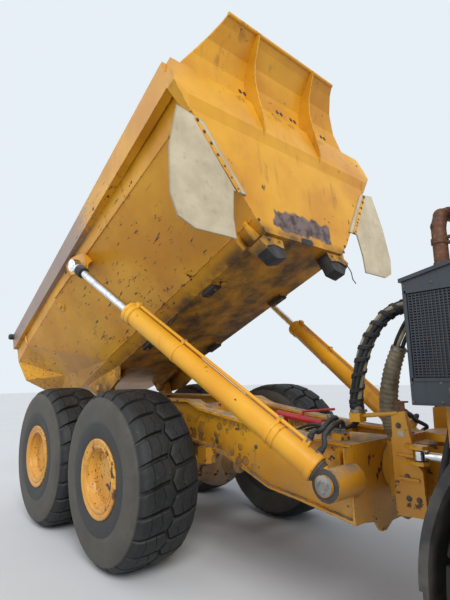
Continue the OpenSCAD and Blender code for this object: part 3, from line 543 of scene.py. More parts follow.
def plastic(name, colour, scale=90.0, rough_low=0.4, rough_high=0.65, pale=1.6):
    """Moulded plastic or close cloth with a fine grain."""
    m, tree, shader = finish(name)
    place = own_place(tree)
    grain = noise(tree, place, scale, 3.0)
    cloud = noise(tree, place, 4.0, 4.0)
    c = mix(tree, ramp(tree, cloud, 0.35, 0.7), colour, tuple(min(v * pale, 1) for v in colour))
    c = mix(tree, use(tree, "dust", on_top=0.35, low_down=0.3), c, DUST_GREY)
    tree.links.new(c, shader.inputs["Base Color"])
    roughness(tree, shader, cloud, rough_low, rough_high)
    bump(tree, shader, grain, 0.0006)
    return m


def flap_cloth():
    """Belting of the flaps: pale beige on the face and grey where it is cut."""
    m, tree, shader = finish("flap belting")
    place = use(tree, "bed place")
    cloud = noise(tree, place, 2.2, 6.0, 0.6)
    threads = noise(tree, stretched(tree, place, (1.0, 1.0, 3.0)), 130.0, 2.0)
    c = mix(tree, ramp(tree, cloud, 0.3, 0.7), (0.40, 0.335, 0.22), (0.56, 0.485, 0.335))
    stains = ramp(tree, noise(tree, place, 9.0, 6.0), 0.55, 0.75)
    c = over(tree, c, stains, 0.4, (0.25, 0.2, 0.14))
    edge = use(tree, "edge wear", width=0.02, breakup=8.0, amount=1.0)
    c = over(tree, c, edge, 0.8, (0.16, 0.15, 0.14))
    tree.links.new(c, shader.inputs["Base Color"])
    roughness(tree, shader, cloud, 0.65, 0.9)
    bump(tree, shader, plus(tree, threads, cloud), 0.0015)
    return m


def frame_paint():
    """Paint of the rear frame, peeled off in round spots beside the middle wheel."""
    m, tree, shader = finish("frame paint")
    c, rough, worn = painted_colour(tree, YELLOW, DEEP_YELLOW, wear=0.6, chips=0.27, streaks=0.22,
                                    dust=(0.9, 0.45))
    place = own_place(tree)
    shake = add(tree, "ShaderNodeTexNoise", {"Vector": place, "Scale": 14.0, "Detail": 3.0})
    shift = stretched(tree, shake.outputs["Color"], (0.05,) * 3)
    moved = add(tree, "ShaderNodeVectorMath", {0: shift, 1: place}, operation="ADD").outputs[0]
    cells = add(tree, "ShaderNodeTexVoronoi", {"Vector": moved, "Scale": 10.5}).outputs["Distance"]
    near_wheel = masked_box(tree, place, (-1.75, None, 0.95), (-0.55, None, 1.5), 0.16)
    patches = ramp(tree, noise(tree, place, 3.4, 2.0), 0.40, 0.52)
    spots = times(tree, times(tree, near_wheel, patches), ramp(tree, cells, 0.50, 0.47))
    ring = times(tree, spots, ramp(tree, cells, 0.36, 0.47))
    bare = mix(tree, ramp(tree, noise(tree, place, 8.0, 3.0), 0.4, 0.6),
               (0.16, 0.085, 0.03), (0.29, 0.15, 0.035))
    c = over(tree, c, spots, 0.8, bare)
    c = over(tree, c, ring, 0.85, (0.045, 0.028, 0.018))
    tree.links.new(c, shader.inputs["Base Color"])
    rough = calc(tree, "ADD", rough, times(tree, spots, 0.3), clamp=True)
    tree.links.new(rough, shader.inputs["Roughness"])
    paint_bump(tree, shader, calc(tree, "MAXIMUM", worn, spots), 0.12, 0.004)
    return m


finishes = {
    "bed": bed_paint(),
    "yellow": painted("yellow paint", YELLOW, DEEP_YELLOW, wear=0.45, chips=0.22, streaks=0.22,
                      dust=(0.55, 0.3)),
    "frame": frame_paint(),
    "cylinder": painted("cylinder paint", (0.72, 0.36, 0.016), (0.62, 0.26, 0.008), waves=0.001,
                        wear=0.35, chips=0.12, streaks=0.25, dust=(0.1, 0.1)),
    "axle": painted("axle paint", (0.42, 0.2, 0.03), (0.22, 0.11, 0.03), wear=0.5, chips=0.4,
                    streaks=0.6, dust=(0.9, 0.9)),
    "red": painted("red paint", (0.5, 0.03, 0.035), (0.36, 0.015, 0.02), wear=0.4, chips=0.2,
                   streaks=0.2, dust=(0.4, 0.2)),
    "charcoal": painted("charcoal paint", (0.035, 0.043, 0.052), (0.024, 0.03, 0.037), wear=0.3,
                        chips=0.1, streaks=0.5, dust=(0.6, 0.4)),
    "rim": rim_paint(),
    "tyre": tyre_rubber(),
    "rubber": rubber("black rubber", (0.012, 0.012, 0.013), (0.045, 0.043, 0.04)),
    "hose": rubber("hose rubber", (0.010, 0.011, 0.012), (0.030, 0.031, 0.032), dusty=0.25,
                   waves=0.001),
    "wrap": rubber("hose wrap", (0.008, 0.008, 0.009), (0.028, 0.028, 0.03), dusty=0.3, waves=0.003),
    "sleeve": rubber("woven sleeve", (0.17, 0.14, 0.085), (0.34, 0.29, 0.19), dusty=0.2, waves=0.002),
    "chrome": bare_metal("bright rod", (0.78, 0.8, 0.82), 0.08, 0.26, scale=14.0, bump_by=0.0002),
    "steel": bare_metal("dull steel", (0.34, 0.33, 0.31), 0.35, 0.6),
    "bolt": bare_metal("dirty bolts", (0.13, 0.11, 0.085), 0.5, 0.8, 0.5),
    "pipe": rusty_pipe(),
    "glass": glass(),
    "lens": lamp_lens(),
    "beacon": plastic("orange lens", (0.75, 0.22, 0.01), rough_low=0.12, rough_high=0.3),
    "red lens": plastic("red lens", (0.45, 0.012, 0.01), rough_low=0.12, rough_high=0.3),
    "seat": plastic("seat cloth", (0.02, 0.02, 0.022), scale=240.0, rough_low=0.8, rough_high=0.95),
    "flap": flap_cloth(),
}

NODE_FINISHES = {
    "bed": ("bed_tub", "spill_guard", "bed_brackets"),
    "frame": ("rear_chassis",),
    "yellow": ("knuckle", "front_chassis", "cab_shell", "cab_door", "hood"),
    "cylinder": ("hoist_barrel_r", "hoist_barrel_l"),
    "axle": ("walking_beams", "rear_axles", "front_axle"),
    "red": ("red_strut",),
    "charcoal": ("cooler_housing", "steps", "handrails", "side_tanks", "bumper",
                 "engine_block", "steer_barrel_r", "steer_barrel_l", "mirrors"),
    "chrome": ("hoist_rod_r", "hoist_rod_l", "steer_rod_r", "steer_rod_l"),
    "rubber": ("bed_pads", "fenders", "cooler_grille"),
    "hose": ("hose_bundle",),
    "pipe": ("exhaust_stack",),
    "glass": ("cab_glass", "door_glass"),
    "lens": ("lamps",),
    "seat": ("cab_interior",),
    "flap": ("side_flaps",),
    "tyre": tuple("tyre_" + a + s for a in "fmr" for s in "rl"),
    "rim": tuple("rim_" + a + s for a in "fmr" for s in "rl"),
}

for key, names in NODE_FINISHES.items():
    for name in names:
        nodes[name].data.materials.clear()
        nodes[name].data.materials.append(finishes[key])


# Making of meshes
def piece(name, verts, faces, key, body, smooth=False, angle=None):
    """A mesh piece with a finish, riding on a body."""
    name = name.replace(" ", "_").replace("'", "")
    mesh = bpy.data.meshes.new(name)
    mesh.from_pydata([tuple(v) for v in verts], [], faces)
    mesh.validate()
    obj = bpy.data.objects.new(name, mesh)
    bpy.context.scene.collection.objects.link(obj)
    clean = bmesh.new()
    clean.from_mesh(mesh)
    bmesh.ops.recalc_face_normals(clean, faces=clean.faces)
    clean.to_mesh(mesh)
    clean.free()
    mesh.materials.append(finishes[key])
    if smooth:
        mesh.shade_smooth()
        if angle:
            mesh.set_sharp_from_angle(angle=math.radians(angle))
    if body:
        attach(obj, body)
    return obj


def frame_of(direction):
    """Two directions square to this one and to each other."""
    d = direction.normalized()
    a = d.orthogonal().normalized()
    return a, d.cross(a)


def angles(count, start=0.0):
    """Angles at even steps once round."""
    return [start + 2 * math.pi * i / count for i in range(count)]


def way_out(a, b, t):
    """The direction at an angle from the first of two square directions towards the second."""
    return a * math.cos(t) + b * math.sin(t)


def carried(line):
    """Each point of a line with its way on and two ways square to it that turn no more than it."""
    side = frame_of(line[1] - line[0])[0]
    frames = []
    for i, p in enumerate(line):
        d = (line[min(i + 1, len(line) - 1)] - line[max(i - 1, 0)]).normalized()
        side = (side - d * side.dot(d)).normalized()
        frames.append((p, d, side, d.cross(side)))
    return frames


class Mesh:
    """Vertices and faces that several small things share."""

    def __init__(self):
        self.verts = []
        self.faces = []

    def loft(self, rings):
        """A skin over rings of equal count, closed at both ends."""
        start = len(self.verts)
        n = len(rings[0])
        for ring in rings:
            self.verts.extend(ring)
        for i in range(len(rings) - 1):
            for j in range(n):
                k = (j + 1) % n
                self.faces.append((start + i * n + j, start + i * n + k,
                                   start + (i + 1) * n + k, start + (i + 1) * n + j))
        self.faces.append(tuple(start + j for j in range(n)))
        last = start + (len(rings) - 1) * n
        self.faces.append(tuple(last + n - 1 - j for j in range(n)))

    def turned(self, place, direction, profile, sides=16):
        """A turned form: profile is [(along, radius)] from a place in a direction."""
        d = direction.normalized()
        a, b = frame_of(d)
        ways = [way_out(a, b, t) for t in angles(sides)]
        self.loft([[place + d * along + way * radius for way in ways] for along, radius in profile])

    def bolt(self, place, direction, size=0.012):
        """A hexagon head on its washer."""
        self.turned(place, direction, [(-0.002, size * 1.55), (size * 0.18, size * 1.55),
                                       (size * 0.24, size * 1.45)], 14)
        self.turned(place, direction, [(size * 0.2, size), (size * 0.75, size),
                                       (size * 0.86, size * 0.8)], 6)

    def block(self, centre, axes, halves, chamfer=0.0):
        """A block with chamfered long edges: axes are three directions, halves its half sizes."""
        u, v, w = axes
        a, b, c = halves
        k = min(chamfer, a * 0.9, b * 0.9)
        outline = [(a - k, b), (a, b - k), (a, k - b), (a - k, -b), (k - a, -b), (-a, k - b),
                   (-a, b - k), (k - a, b)] if k else [(a, b), (a, -b), (-a, -b), (-a, b)]
        rings = []
        for s in (-c, c):
            rings.append([centre + u * p + v * q + w * s for p, q in outline])
        self.loft(rings)

    def plate(self, corners, thick):
        """A plate on corners that lie in one plane, thick on the far side of its normal."""
        n = (corners[1] - corners[0]).cross(corners[2] - corners[0]).normalized()
        self.loft([corners, [p - n * thick for p in corners]])

    def tube(self, line, radius, sides=10):
        """A tube along a line; radius is a number or one for each point of the line."""
        rings = []
        for i, (p, _, side, up) in enumerate(carried(line)):
            r = radius[i] if isinstance(radius, (list, tuple)) else radius
            rings.append([p + side * (math.cos(t) * r) + up * (math.sin(t) * r) for t in angles(sides)])
        self.loft(rings)

    def build(self, name, key, body, smooth=True, angle=35):
        """The piece that the vertices and faces make."""
        return piece(name, self.verts, self.faces, key, body, smooth, angle)


def smooth_line(points, steps=8):
    """A smooth line through points."""
    line = []
    for i in range(len(points) - 1):
        a = points[max(i - 1, 0)]
        b = points[i]
        c = points[i + 1]
        d = points[min(i + 2, len(points) - 1)]
        for j in range(steps):
            t = j / steps
            line.append(b + (c - a) * (t / 2) + (a * 2 - b * 5 + c * 4 - d) * (t * t / 2)
                        + (b * 3 - a - c * 3 + d) * (t * t * t / 2))
    line.append(points[-1])
    return line


# Tyres
LUGS = 24
LUG_SLANT = 0.21
GROOVE_DEPTH = 0.052
ZIGZAG = 0.030
# across one half of the tread: [from the middle, below the outer radius, share of the depth
# that the cross grooves have there]
CROWN = [(0.0, 0.041, 0.0), (0.013, 0.039, 0.0), (0.019, 0.0065, 1.0), (0.024, 0.0035, 1.0),
         (0.075, 0.0025, 1.0), (0.112, 0.0025, 1.0), (0.1145, 0.016, 0.7), (0.1175, 0.016, 0.7),
         (0.12, 0.003, 1.0), (0.17, 0.0045, 1.0), (0.215, 0.009, 1.0), (0.2175, 0.021, 0.7),
         (0.2205, 0.021, 0.7), (0.223, 0.011, 1.0), (0.262, 0.020, 1.0), (0.292, 0.031, 1.0),
         (0.312, 0.049, 1.0), (0.326, 0.069, 0.9), (0.338, 0.083, 0.35), (0.344, 0.087, 0.0)]
# down the wall: [from the middle, radius]
WALL = [(0.351, 0.822), (0.354, 0.806), (0.3625, 0.78), (0.3655, 0.74), (0.3675, 0.68), (0.3685, 0.62),
        (0.368, 0.59), (0.3645, 0.58), (0.364, 0.565), (0.367, 0.55), (0.366, 0.50), (0.362, 0.46),
        (0.357, 0.438), (0.350, 0.4088), (0.3495, 0.3185)]
# steps round one lug, as shares of the way to the next, crowded at both rows' grooves
LUG_STEPS = (0.0, 0.062, 0.085, 0.11, 0.25, 0.39, 0.415, 0.438, 0.5, 0.562, 0.585, 0.61, 0.75, 0.89,
             0.915, 0.938)
# a lug's wall starts at the groove's edge and reaches this share of its height at the next step
GROOVE_EDGE = LUG_STEPS[1]
WALL_WIDTH = LUG_STEPS[2] - LUG_STEPS[1]
WALL_SHARE = 0.84
WORN_MOST = 0.004
# the grooves' floor falls off towards the shoulder
SHOULDER_FROM = 0.24
SHOULDER_FALL = 0.42
ZIGZAG_ENDS = 0.34
# how far the tyres stand turned: all of them, by how far forward they are, by their side
TYRE_TURN = 0.91
TURN_ALONG = 0.4
TURN_ASIDE = 0.2


def tyre_mesh():
    """A tyre about its own axle: block lugs in two staggered rows with a zigzag groove between."""
    m = Mesh()
    around = len(LUG_STEPS) * LUGS
    pitch = 2 * math.pi / LUGS
    rng = random.Random(4)
    worn = [rng.uniform(0.0, WORN_MOST) for _ in range(LUGS * 2)]
    halves = []
    for side in (-1, 1):
        crown = [(side, aside, TYRE_RADIUS - drop, depth) for aside, drop, depth in CROWN]
        wall = [(side, aside, radius, 0.0) for aside, radius in WALL]
        halves.append(crown + wall)
    for side, aside, radius, depth in halves[0][::-1] + halves[1][1:]:
        near = min(aside, CROWN[-1][0])
        bend = LUG_SLANT * near * (0.6 + 2.2 * near)
        groove_floor = TYRE_RADIUS - GROOVE_DEPTH - max(0.0, near - SHOULDER_FROM) * SHOULDER_FALL
        low = radius - max(0.0, radius - groove_floor) * depth
        fade = max(0.0, 1.0 - aside / ZIGZAG_ENDS)
        for i in range(around):
            lug, part = divmod(i, len(LUG_STEPS))
            share = LUG_STEPS[part]
            from_zero = min(share, 1 - share)
            from_groove = from_zero if side < 0 else abs(share - 0.5)
            left = min(1.0, max(0.0, (from_groove - GROOVE_EDGE) / WALL_WIDTH) * WALL_SHARE)
            r = low + (radius - low) * left
            own = lug if side < 0 else LUGS + int((i + len(LUG_STEPS) / 2) // len(LUG_STEPS)) % LUGS
            r -= worn[own] * depth * left
            turn = (lug + share) * pitch + side * bend
            out = side * aside + (4 * from_zero - 1) * ZIGZAG * fade
            m.verts.append(Vector((r * math.cos(turn), out, r * math.sin(turn))))
    rings = len(m.verts) // around
    for i in range(rings):
        a = i * around
        b = (i + 1) % rings * around
        for j in range(around):
            k = (j + 1) % around
            m.faces.append((a + j, a + k, b + k, b + j))
    return m


def make_tyres():
    """Six tyres of one mesh, each turned a little further than the last."""
    shared = tyre_mesh()
    for wheel, x, side in WHEELS:
        tyre = shared.build("tread_" + wheel, "tyre", None, angle=38)
        turn = Matrix.Rotation(math.pi if side > 0 else 0.0, 4, "Z")
        spin = Matrix.Rotation(TYRE_TURN + TURN_ALONG * x + TURN_ASIDE * side, 4, "Y")
        tyre.matrix_world = Matrix.Translation(at(x, side * TYRE_SIDE, TYRE_RADIUS)) @ turn @ spin
        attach(tyre, "wheel_" + wheel)
        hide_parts("tyre_" + wheel)


make_tyres()


# Small things shared by the bodies
X_WAY = Vector((1, 0, 0))
Y_WAY = Vector((0, 1, 0))
Z_WAY = Vector((0, 0, 1))
LEVEL = (X_WAY, Y_WAY, Z_WAY)
FACE = (X_WAY, Z_WAY, Y_WAY)
SIDES = ((-1, "right"), (1, "left"))


def bed_way(x, y, z):
    """A direction on the bed, given as the bed lies flat."""
    return (on_bed(x, y, z) - on_bed(0, 0, 0)).normalized()


def between(a, b, share):
    """The place at a share of the way from one to another."""
    return a + (b - a) * share


def hoist_line(side):
    """A hoist cylinder's lower pin, the way along it, the way out above it and the way across it."""
    low = Vector((HOIST_LOW.x, HOIST_LOW.y * -side, HOIST_LOW.z))
    high = Vector((HOIST_UP.x, HOIST_UP.y * -side, HOIST_UP.z))
    d = (high - low).normalized()
    lift = (Z_WAY - d * d.z).normalized()
    return at(*low), d, lift, d.cross(lift)


# Bed
WALL_LEAN = 0.2575
WALL_FOOT_X = 1.960
WALL_FOOT_Z = 1.882


def wall_x(z):
    """How far forward the front wall's face is at a height."""
    return WALL_FOOT_X + (z - WALL_FOOT_Z) * WALL_LEAN


# the sloping side's lower and upper edge: [across, height]
V_LOW = (0.80, 2.02)
V_HIGH = (1.52, 2.99)
V_TILT = math.hypot(V_HIGH[0] - V_LOW[0], V_HIGH[1] - V_LOW[1])


def v_side(x, z, side):
    """A place on the sloping side and the way out of it."""
    y = V_LOW[0] + (z - V_LOW[1]) * (V_HIGH[0] - V_LOW[0]) / (V_HIGH[1] - V_LOW[1])
    out = bed_way(0, side * (V_HIGH[1] - V_LOW[1]) / V_TILT, -(V_HIGH[0] - V_LOW[0]) / V_TILT)
    return on_bed(x, side * y, z), out


# ends of the flap's fixing edge on the front wall: [across, height]
FLAP_LOW = (1.03, 2.255)
FLAP_HIGH = (1.46, 2.86)
FLAP_BOLTS = 7


def make_bed_fittings():
    """Bolts, clamp bars, weld seams and stiffeners of the bed, its tail knobs, and dark plates of
    painted shade in its slots, holes and notch.
    """
    wall_out = bed_way(1, 0, -WALL_LEAN)
    wall_up = bed_way(WALL_LEAN, 0, 1)
    bolts = Mesh()
    bars = Mesh()
    # dark plates of painted shade in slots, holes and a notch, and the real dark knobs
    dark = Mesh()
    seams = Mesh()
    for side in (-1, 1):
        # bolts and clamp bar along the flap's fixing edge
        for i in range(FLAP_BOLTS):
            y = between(FLAP_LOW[0], FLAP_HIGH[0], i / (FLAP_BOLTS - 1))
            z = between(FLAP_LOW[1], FLAP_HIGH[1], i / (FLAP_BOLTS - 1))
            bolts.bolt(on_bed(wall_x(z), side * y, z) + wall_out * 0.036, wall_out, 0.012)
        a = on_bed(wall_x(FLAP_LOW[1]), side * (FLAP_LOW[0] - 0.02), FLAP_LOW[1] - 0.03)
        b = on_bed(wall_x(FLAP_HIGH[1]), side * (FLAP_HIGH[0] + 0.02), FLAP_HIGH[1] + 0.03)
        along = (b - a).normalized()
        across = wall_out.cross(along)
        bars.block(between(a, b, 0.5) + wall_out * 0.033, (across, wall_out, along),
                   (0.028, 0.004, (b - a).length / 2), 0.002)
        # bolts by the wall's lower corner and on the upper side
        for y, z in ((0.756, 2.01), (0.708, 1.93)):
            bolts.bolt(on_bed(wall_x(z), side * y, z) + wall_out * 0.012, wall_out, 0.013)
        for x, y, z in ((-1.50, 1.507, 3.16), (-1.80, 1.499, 3.16), (-0.9, 1.524, 3.12)):
            bolts.bolt(on_bed(x, side * y, z), bed_way(0, side, 0), 0.016)
        # rubbed boss behind the hoist bracket, with a dark plate of painted shade in its slot
        place, out = v_side(-1.43, 2.86, side)
        bars.turned(place, out, [(-0.01, 0.075), (0.006, 0.075), (0.009, 0.068)], 24)
        dark.block(place + out * 0.009, (bed_way(1, 0, 0), bed_way(0, 0, 1), out), (0.034, 0.012, 0.002))
        # knob at the rail's tail
        dark.turned(on_bed(-3.44, side * 1.50, 3.36), bed_way(0, side, 0),
                    [(-0.03, 0.052), (0.075, 0.052), (0.09, 0.04), (0.092, 0.0)], 20)
        # small holes in the spill guard's foot, as dark plates of painted shade
        for y in (0.09, 0.16, 0.70, 0.77):
            dark.block(on_bed(2.392, side * y, 3.53), (Y_WAY, bed_way(0, 0, 1), bed_way(1, 0, 0)),
                       (0.018, 0.028, 0.004), 0.008)
        # weld seams along the sloping side: height, places along it, radius
        for z, along_side, radius in ((2.985, (-1.40, -0.4, 0.6, 1.6, 2.16), 0.009),
                                      (2.03, (-1.40, -0.4, 0.6, 1.3, 1.96), 0.008)):
            edge = [v_side(x, z, side) for x in along_side]
            seams.tube([spot + way * 0.002 for spot, way in edge], radius, 8)
        # stiffener across the tail of the side
        bars.tube(smooth_line([on_bed(-2.90, side * 1.468, 3.13), on_bed(-2.90, side * 1.462, 2.98),
                               on_bed(-2.90, side * 1.30, 2.83), on_bed(-2.90, side * 0.90, 2.43)], 3),
                  0.016, 8)
    # notch for the hook in the wall's lower edge, as a dark plate of painted shade
    dark.block(on_bed(wall_x(1.915) + 0.004, 0, 1.915) + wall_out * 0.008, (Y_WAY, wall_up, wall_out),
               (0.10, 0.036, 0.003), 0.02)
    bolts.build("bed bolts", "bolt", "bed")
    bars.build("bed clamp bars and stiffeners", "bed", "bed")
    dark.build("bed hole shade and tail knobs", "rubber", "bed")
    seams.build("bed weld seams", "bed", "bed")


def make_rest_pads():
    """Rest pads with their holders: a small rubber block in a bent bracket on each side."""
    rubber_parts = Mesh()
    holders = Mesh()
    long_way = bed_way(1, 0, 0)
    up = bed_way(0, 0, 1)
    for side in (-1, 1):
        for x in (-0.6, 0.88):
            centre = on_bed(x, side * 0.58, 1.862)
            rubber_parts.block(centre, (Y_WAY, up, long_way), (0.058, 0.027, 0.118), 0.012)
            for end in (-0.13, 0.13):
                holders.block(centre + long_way * end + up * 0.014, (Y_WAY, up, long_way),
                              (0.062, 0.013, 0.006), 0.004)
            for end in (-0.07, 0.07):
                holders.bolt(centre + long_way * end - up * 0.0275, -up, 0.013)
        # front pads, a little smaller at both ends
        outline = [(0.40, 1.889), (0.655, 1.889), (0.758, 1.80), (0.70, 1.722), (0.60, 1.612),
                   (0.55, 1.618), (0.42, 1.650)]
        rings = []
        for x, small in ((1.782, 0.985), (1.788, 1.0), (1.922, 1.0), (1.928, 0.985)):
            rings.append([on_bed(x, side * (0.57 + (y - 0.57) * small), 1.76 + (z - 1.76) * small)
                          for y, z in outline])
        rubber_parts.loft(rings)
        for x in (1.765, 1.936):
            rim = [on_bed(x, side * y, z) for y, z in ((0.39, 1.889), (0.67, 1.889), (0.775, 1.80),
                                                       (0.72, 1.735), (0.56, 1.79), (0.41, 1.76))]
            rim = rim if side < 0 else rim[::-1]
            holders.plate(rim, 0.009)
        for a, b in (((0.662, 1.893), (0.768, 1.802)), ((0.768, 1.802), (0.700, 1.716))):
            corners = [on_bed(x, side * y, z)
                       for x, (y, z) in ((1.77, a), (1.94, a), (1.94, b), (1.77, b))]
            holders.plate(corners if side < 0 else corners[::-1], -0.009)
        for y in (0.46, 0.62):
            holders.bolt(on_bed(1.945, side * y, 1.84), long_way, 0.012)
    pads = rubber_parts.build("rest pads", "rubber", "bed", angle=30)
    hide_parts("bed_pads")
    holders.build("rest pad holders", "bed", "bed", angle=30)
    cables = Mesh()
    for route, radius in (
            (((0.02, -0.652, 1.888), (0.06, -0.685, 1.82), (0.15, -0.70, 1.80), (0.22, -0.69, 1.83),
              (0.24, -0.652, 1.888)), 0.008),
            (((1.945, 0.70, 1.80), (1.955, 0.72, 1.66), (1.94, 0.715, 1.56),
              (1.95, 0.72, 1.49)), 0.006)):
        cables.tube(smooth_line([on_bed(*p) for p in route], 6), radius)
    cables.build("cable ends under the bed", "rubber", "bed")


# Hoist cylinders
# each port: along the cylinder, lean of its fitting across it, how far out the fitting and the hose
# start, how far forward the hose ends on the frame
PORTS = ((0.33, 0.0, 0.135, 0.19, 2.25), (0.215, 0.27, 0.09, 0.145, 2.31))
GLAND_BOLTS = 12
GLAND_FACE = 2.745
GLAND_RING = 0.098
# clamps of the oil pipe: where they sit along the cylinder and how far out their bolts are
PIPE_CLAMPS = (0.626, 1.886)
CLAMP_TOP = 0.1575
# each weld seam of a barrel: along the cylinder, radius
BARREL_SEAMS = ((0.163, 0.107), (0.2115, 0.107), (0.556, 0.110), (2.632, 0.107))
SEAM_STEPS = 40


def make_hoist_fittings(side, name):
    """Collar, gland bolts, clamp bolts, ports and weld seams of one hoist cylinder."""
    barrel = "hoist_barrel_" + name
    low, d, lift, sideways = hoist_line(side)
    length = (HOIST_UP - HOIST_LOW).length
    collar = Mesh()
    collar.turned(low, d, [(length - 0.235, 0.050), (length - 0.228, 0.072), (length - 0.150, 0.078),
                           (length - 0.118, 0.072), (length - 0.110, 0.050)], 28)
    collar.build("collar by the rod's eye " + name, "rubber", "hoist_rod_" + name)
    small = Mesh()
    for t in angles(GLAND_BOLTS):
        small.bolt(low + d * GLAND_FACE + way_out(lift, sideways, t) * GLAND_RING, d, 0.009)
    for along in PIPE_CLAMPS:
        for across in (-0.016, 0.016):
            small.bolt(low + d * along + lift * CLAMP_TOP + sideways * across, lift, 0.008)
    for along, across, foot, _, _ in PORTS:
        out = (lift + sideways * across).normalized()
        small.turned(low + d * along + out * foot, out,
                     [(0.0, 0.034), (0.034, 0.034), (0.036, 0.027), (0.062, 0.027)], 6)
    small.build("hoist cylinder bolts and ports " + name, "steel", barrel)
    seam = Mesh()
    for along, radius in BARREL_SEAMS:
        seam.tube([low + d * along + way_out(lift, sideways, t) * radius
                   for t in [*angles(SEAM_STEPS), 2 * math.pi]], 0.007, 6)
    seam.build("hoist cylinder weld seams " + name, "cylinder", barrel)


def make_hoist_hoses(side, name):
    """The two hoses from one hoist cylinder to the blocks on the frame."""
    low, d, lift, sideways = hoist_line(side)
    for i, (along, across, _, first, end_x) in enumerate(PORTS):
        out = (lift + sideways * across).normalized()
        start = low + d * along + out * first
        end = at(end_x, side * 0.50, 1.482)
        line = smooth_line([start - out * 0.02, start + out * 0.045,
                            at(2.285 + 0.045 * i, side * 0.79, 1.515 - 0.03 * i),
                            at(2.29 + 0.045 * i, side * 0.66, 1.585 - 0.03 * i),
                            at(2.275 + 0.05 * i, side * 0.55, 1.605 - 0.03 * i),
                            at(end_x + 0.008, side * 0.505, 1.565 - 0.02 * i),
                            end + Z_WAY * 0.03, end - Z_WAY * 0.012], 8)
        hose = Mesh()
        hose.tube(line, 0.021, 12)
        for share in (2, len(line) - 3):
            along_hose = (line[share + 1] - line[share - 1]).normalized()
            hose.turned(line[share] - along_hose * 0.02, along_hose,
                        [(0.0, 0.022), (0.002, 0.027), (0.038, 0.027), (0.04, 0.022)], 12)
        h = hose.build("hoist hose %d %s" % (i + 1, name), "hose", None)
        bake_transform(h)


make_bed_fittings()
make_rest_pads()
for side, name in SIDES:
    make_hoist_fittings(side, name)
    make_hoist_hoses(side, name)


# Hoses and fittings at the articulation
BUNDLE_ROUTE = ((2.43, -0.45, 1.652), (2.43, -0.45, 1.69), (2.432, -0.45, 1.78), (2.495, -0.45, 2.05),
                (2.59, -0.44, 2.27), (2.72, -0.38, 2.45), (2.86, -0.28, 2.53), (2.98, -0.14, 2.55),
                (3.042, -0.03, 2.59), (3.05, 0.0, 2.66), (3.05, 0.0, 2.744))
SLEEVE_ROUTE = ((2.640, -0.10, 1.402), (2.590, -0.15, 1.52), (2.595, -0.22, 1.72), (2.675, -0.275, 1.98),
                (2.770, -0.29, 2.19))
PIVOT_X = joint_place("steering").x
STRANDS = 6
STRAND_REACH = 0.036
STRAND_RADIUS = 0.0195
STRAND_TURNS = 0.8
PALE_STRANDS = (1, 4)
# the flat wrap: where it starts and ends along the hoses, its turns and the steps of one turn
WRAP_FROM = 0.10
WRAP_TO = 0.80
WRAP_TURNS = 15
WRAP_STEPS = 16
WRAP_INSIDE = 0.054
WRAP_OUTSIDE = 0.062
# half its width, and by how much that varies
WRAP_HALF = 0.017
WRAP_UNEVEN = 0.004


def strand_way(frames, strand, i):
    """The way out to a hose of the bundle at one point of its line."""
    t = 2 * math.pi * (strand / STRANDS + STRAND_TURNS * i / (len(frames) - 1))
    return way_out(*frames[i][2:], t)


def make_hose_bundle():
    """Hoses that wind about one line from the knuckle to the coupling, their wrap, clamps and ends."""
    frames = carried(smooth_line([at(*p) for p in BUNDLE_ROUTE], 14))
    n = len(frames)
    strands = Mesh()
    pale = Mesh()
    for i in range(STRANDS):
        line = [frames[k][0] + strand_way(frames, i, k) * STRAND_REACH for k in range(n)]
        (pale if i in PALE_STRANDS else strands).tube(line, STRAND_RADIUS, 10)
    hoses = strands.build("black hoses to the front", "hose", "swivel_knuckle")
    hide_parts("hose_bundle")
    pale.build("beige hoses to the front", "sleeve", "swivel_knuckle")
    wrap = Mesh()
    first = int(WRAP_FROM * (n - 1))
    last = int(WRAP_TO * (n - 1))
    steps = WRAP_STEPS * WRAP_TURNS
    rings = []
    for j in range(steps + 1):
        share = first + (last - first) * j / steps
        k = min(int(share), n - 2)
        p = between(frames[k][0], frames[k + 1][0], share - k)
        d, a, b = frames[k][1:]
        out = way_out(a, b, 2 * math.pi * j / WRAP_STEPS)
        half = WRAP_HALF + WRAP_UNEVEN * math.sin(j * 0.37)
        rings.append([p + out * WRAP_INSIDE - d * half, p + out * WRAP_OUTSIDE - d * half * 0.8,
                      p + out * WRAP_OUTSIDE + d * half * 0.8, p + out * WRAP_INSIDE + d * half])
    wrap.loft(rings)
    wrap.build("spiral wrap of the hoses", "wrap", "swivel_knuckle", angle=50)
    bands = Mesh()
    for share, radius, half in ((0.045, 0.060, 0.014), (0.84, 0.066, 0.012), (0.93, 0.064, 0.012)):
        p, d, a, b = frames[int(share * (n - 1))]
        bands.turned(p - d * half, d, [(0.0, radius - 0.006), (0.003, radius),
                                       (half * 2 - 0.003, radius), (half * 2, radius - 0.006)], 24)
        bands.block(p + a * (radius + 0.008), (d, b, a), (half * 0.8, 0.014, 0.012), 0.004)
    bands.build("clamps of the hoses", "steel", "swivel_knuckle")
    ends = Mesh()
    for i in range(STRANDS):
        for k in (1, n - 2):
            p, d = frames[k][:2]
            ends.turned(p + strand_way(frames, i, k) * STRAND_REACH - d * 0.006, d,
                        [(0.0, 0.018), (0.03, 0.018), (0.032, 0.0155), (0.05, 0.0155)], 6)
    ends.build("end fittings of the hoses", "steel", "swivel_knuckle")


SLEEVE_LOW_RADIUS = 0.094
SLEEVE_THINNER = 0.034
SLEEVE_RIB = 0.0035
SLEEVE_HOSES = 5


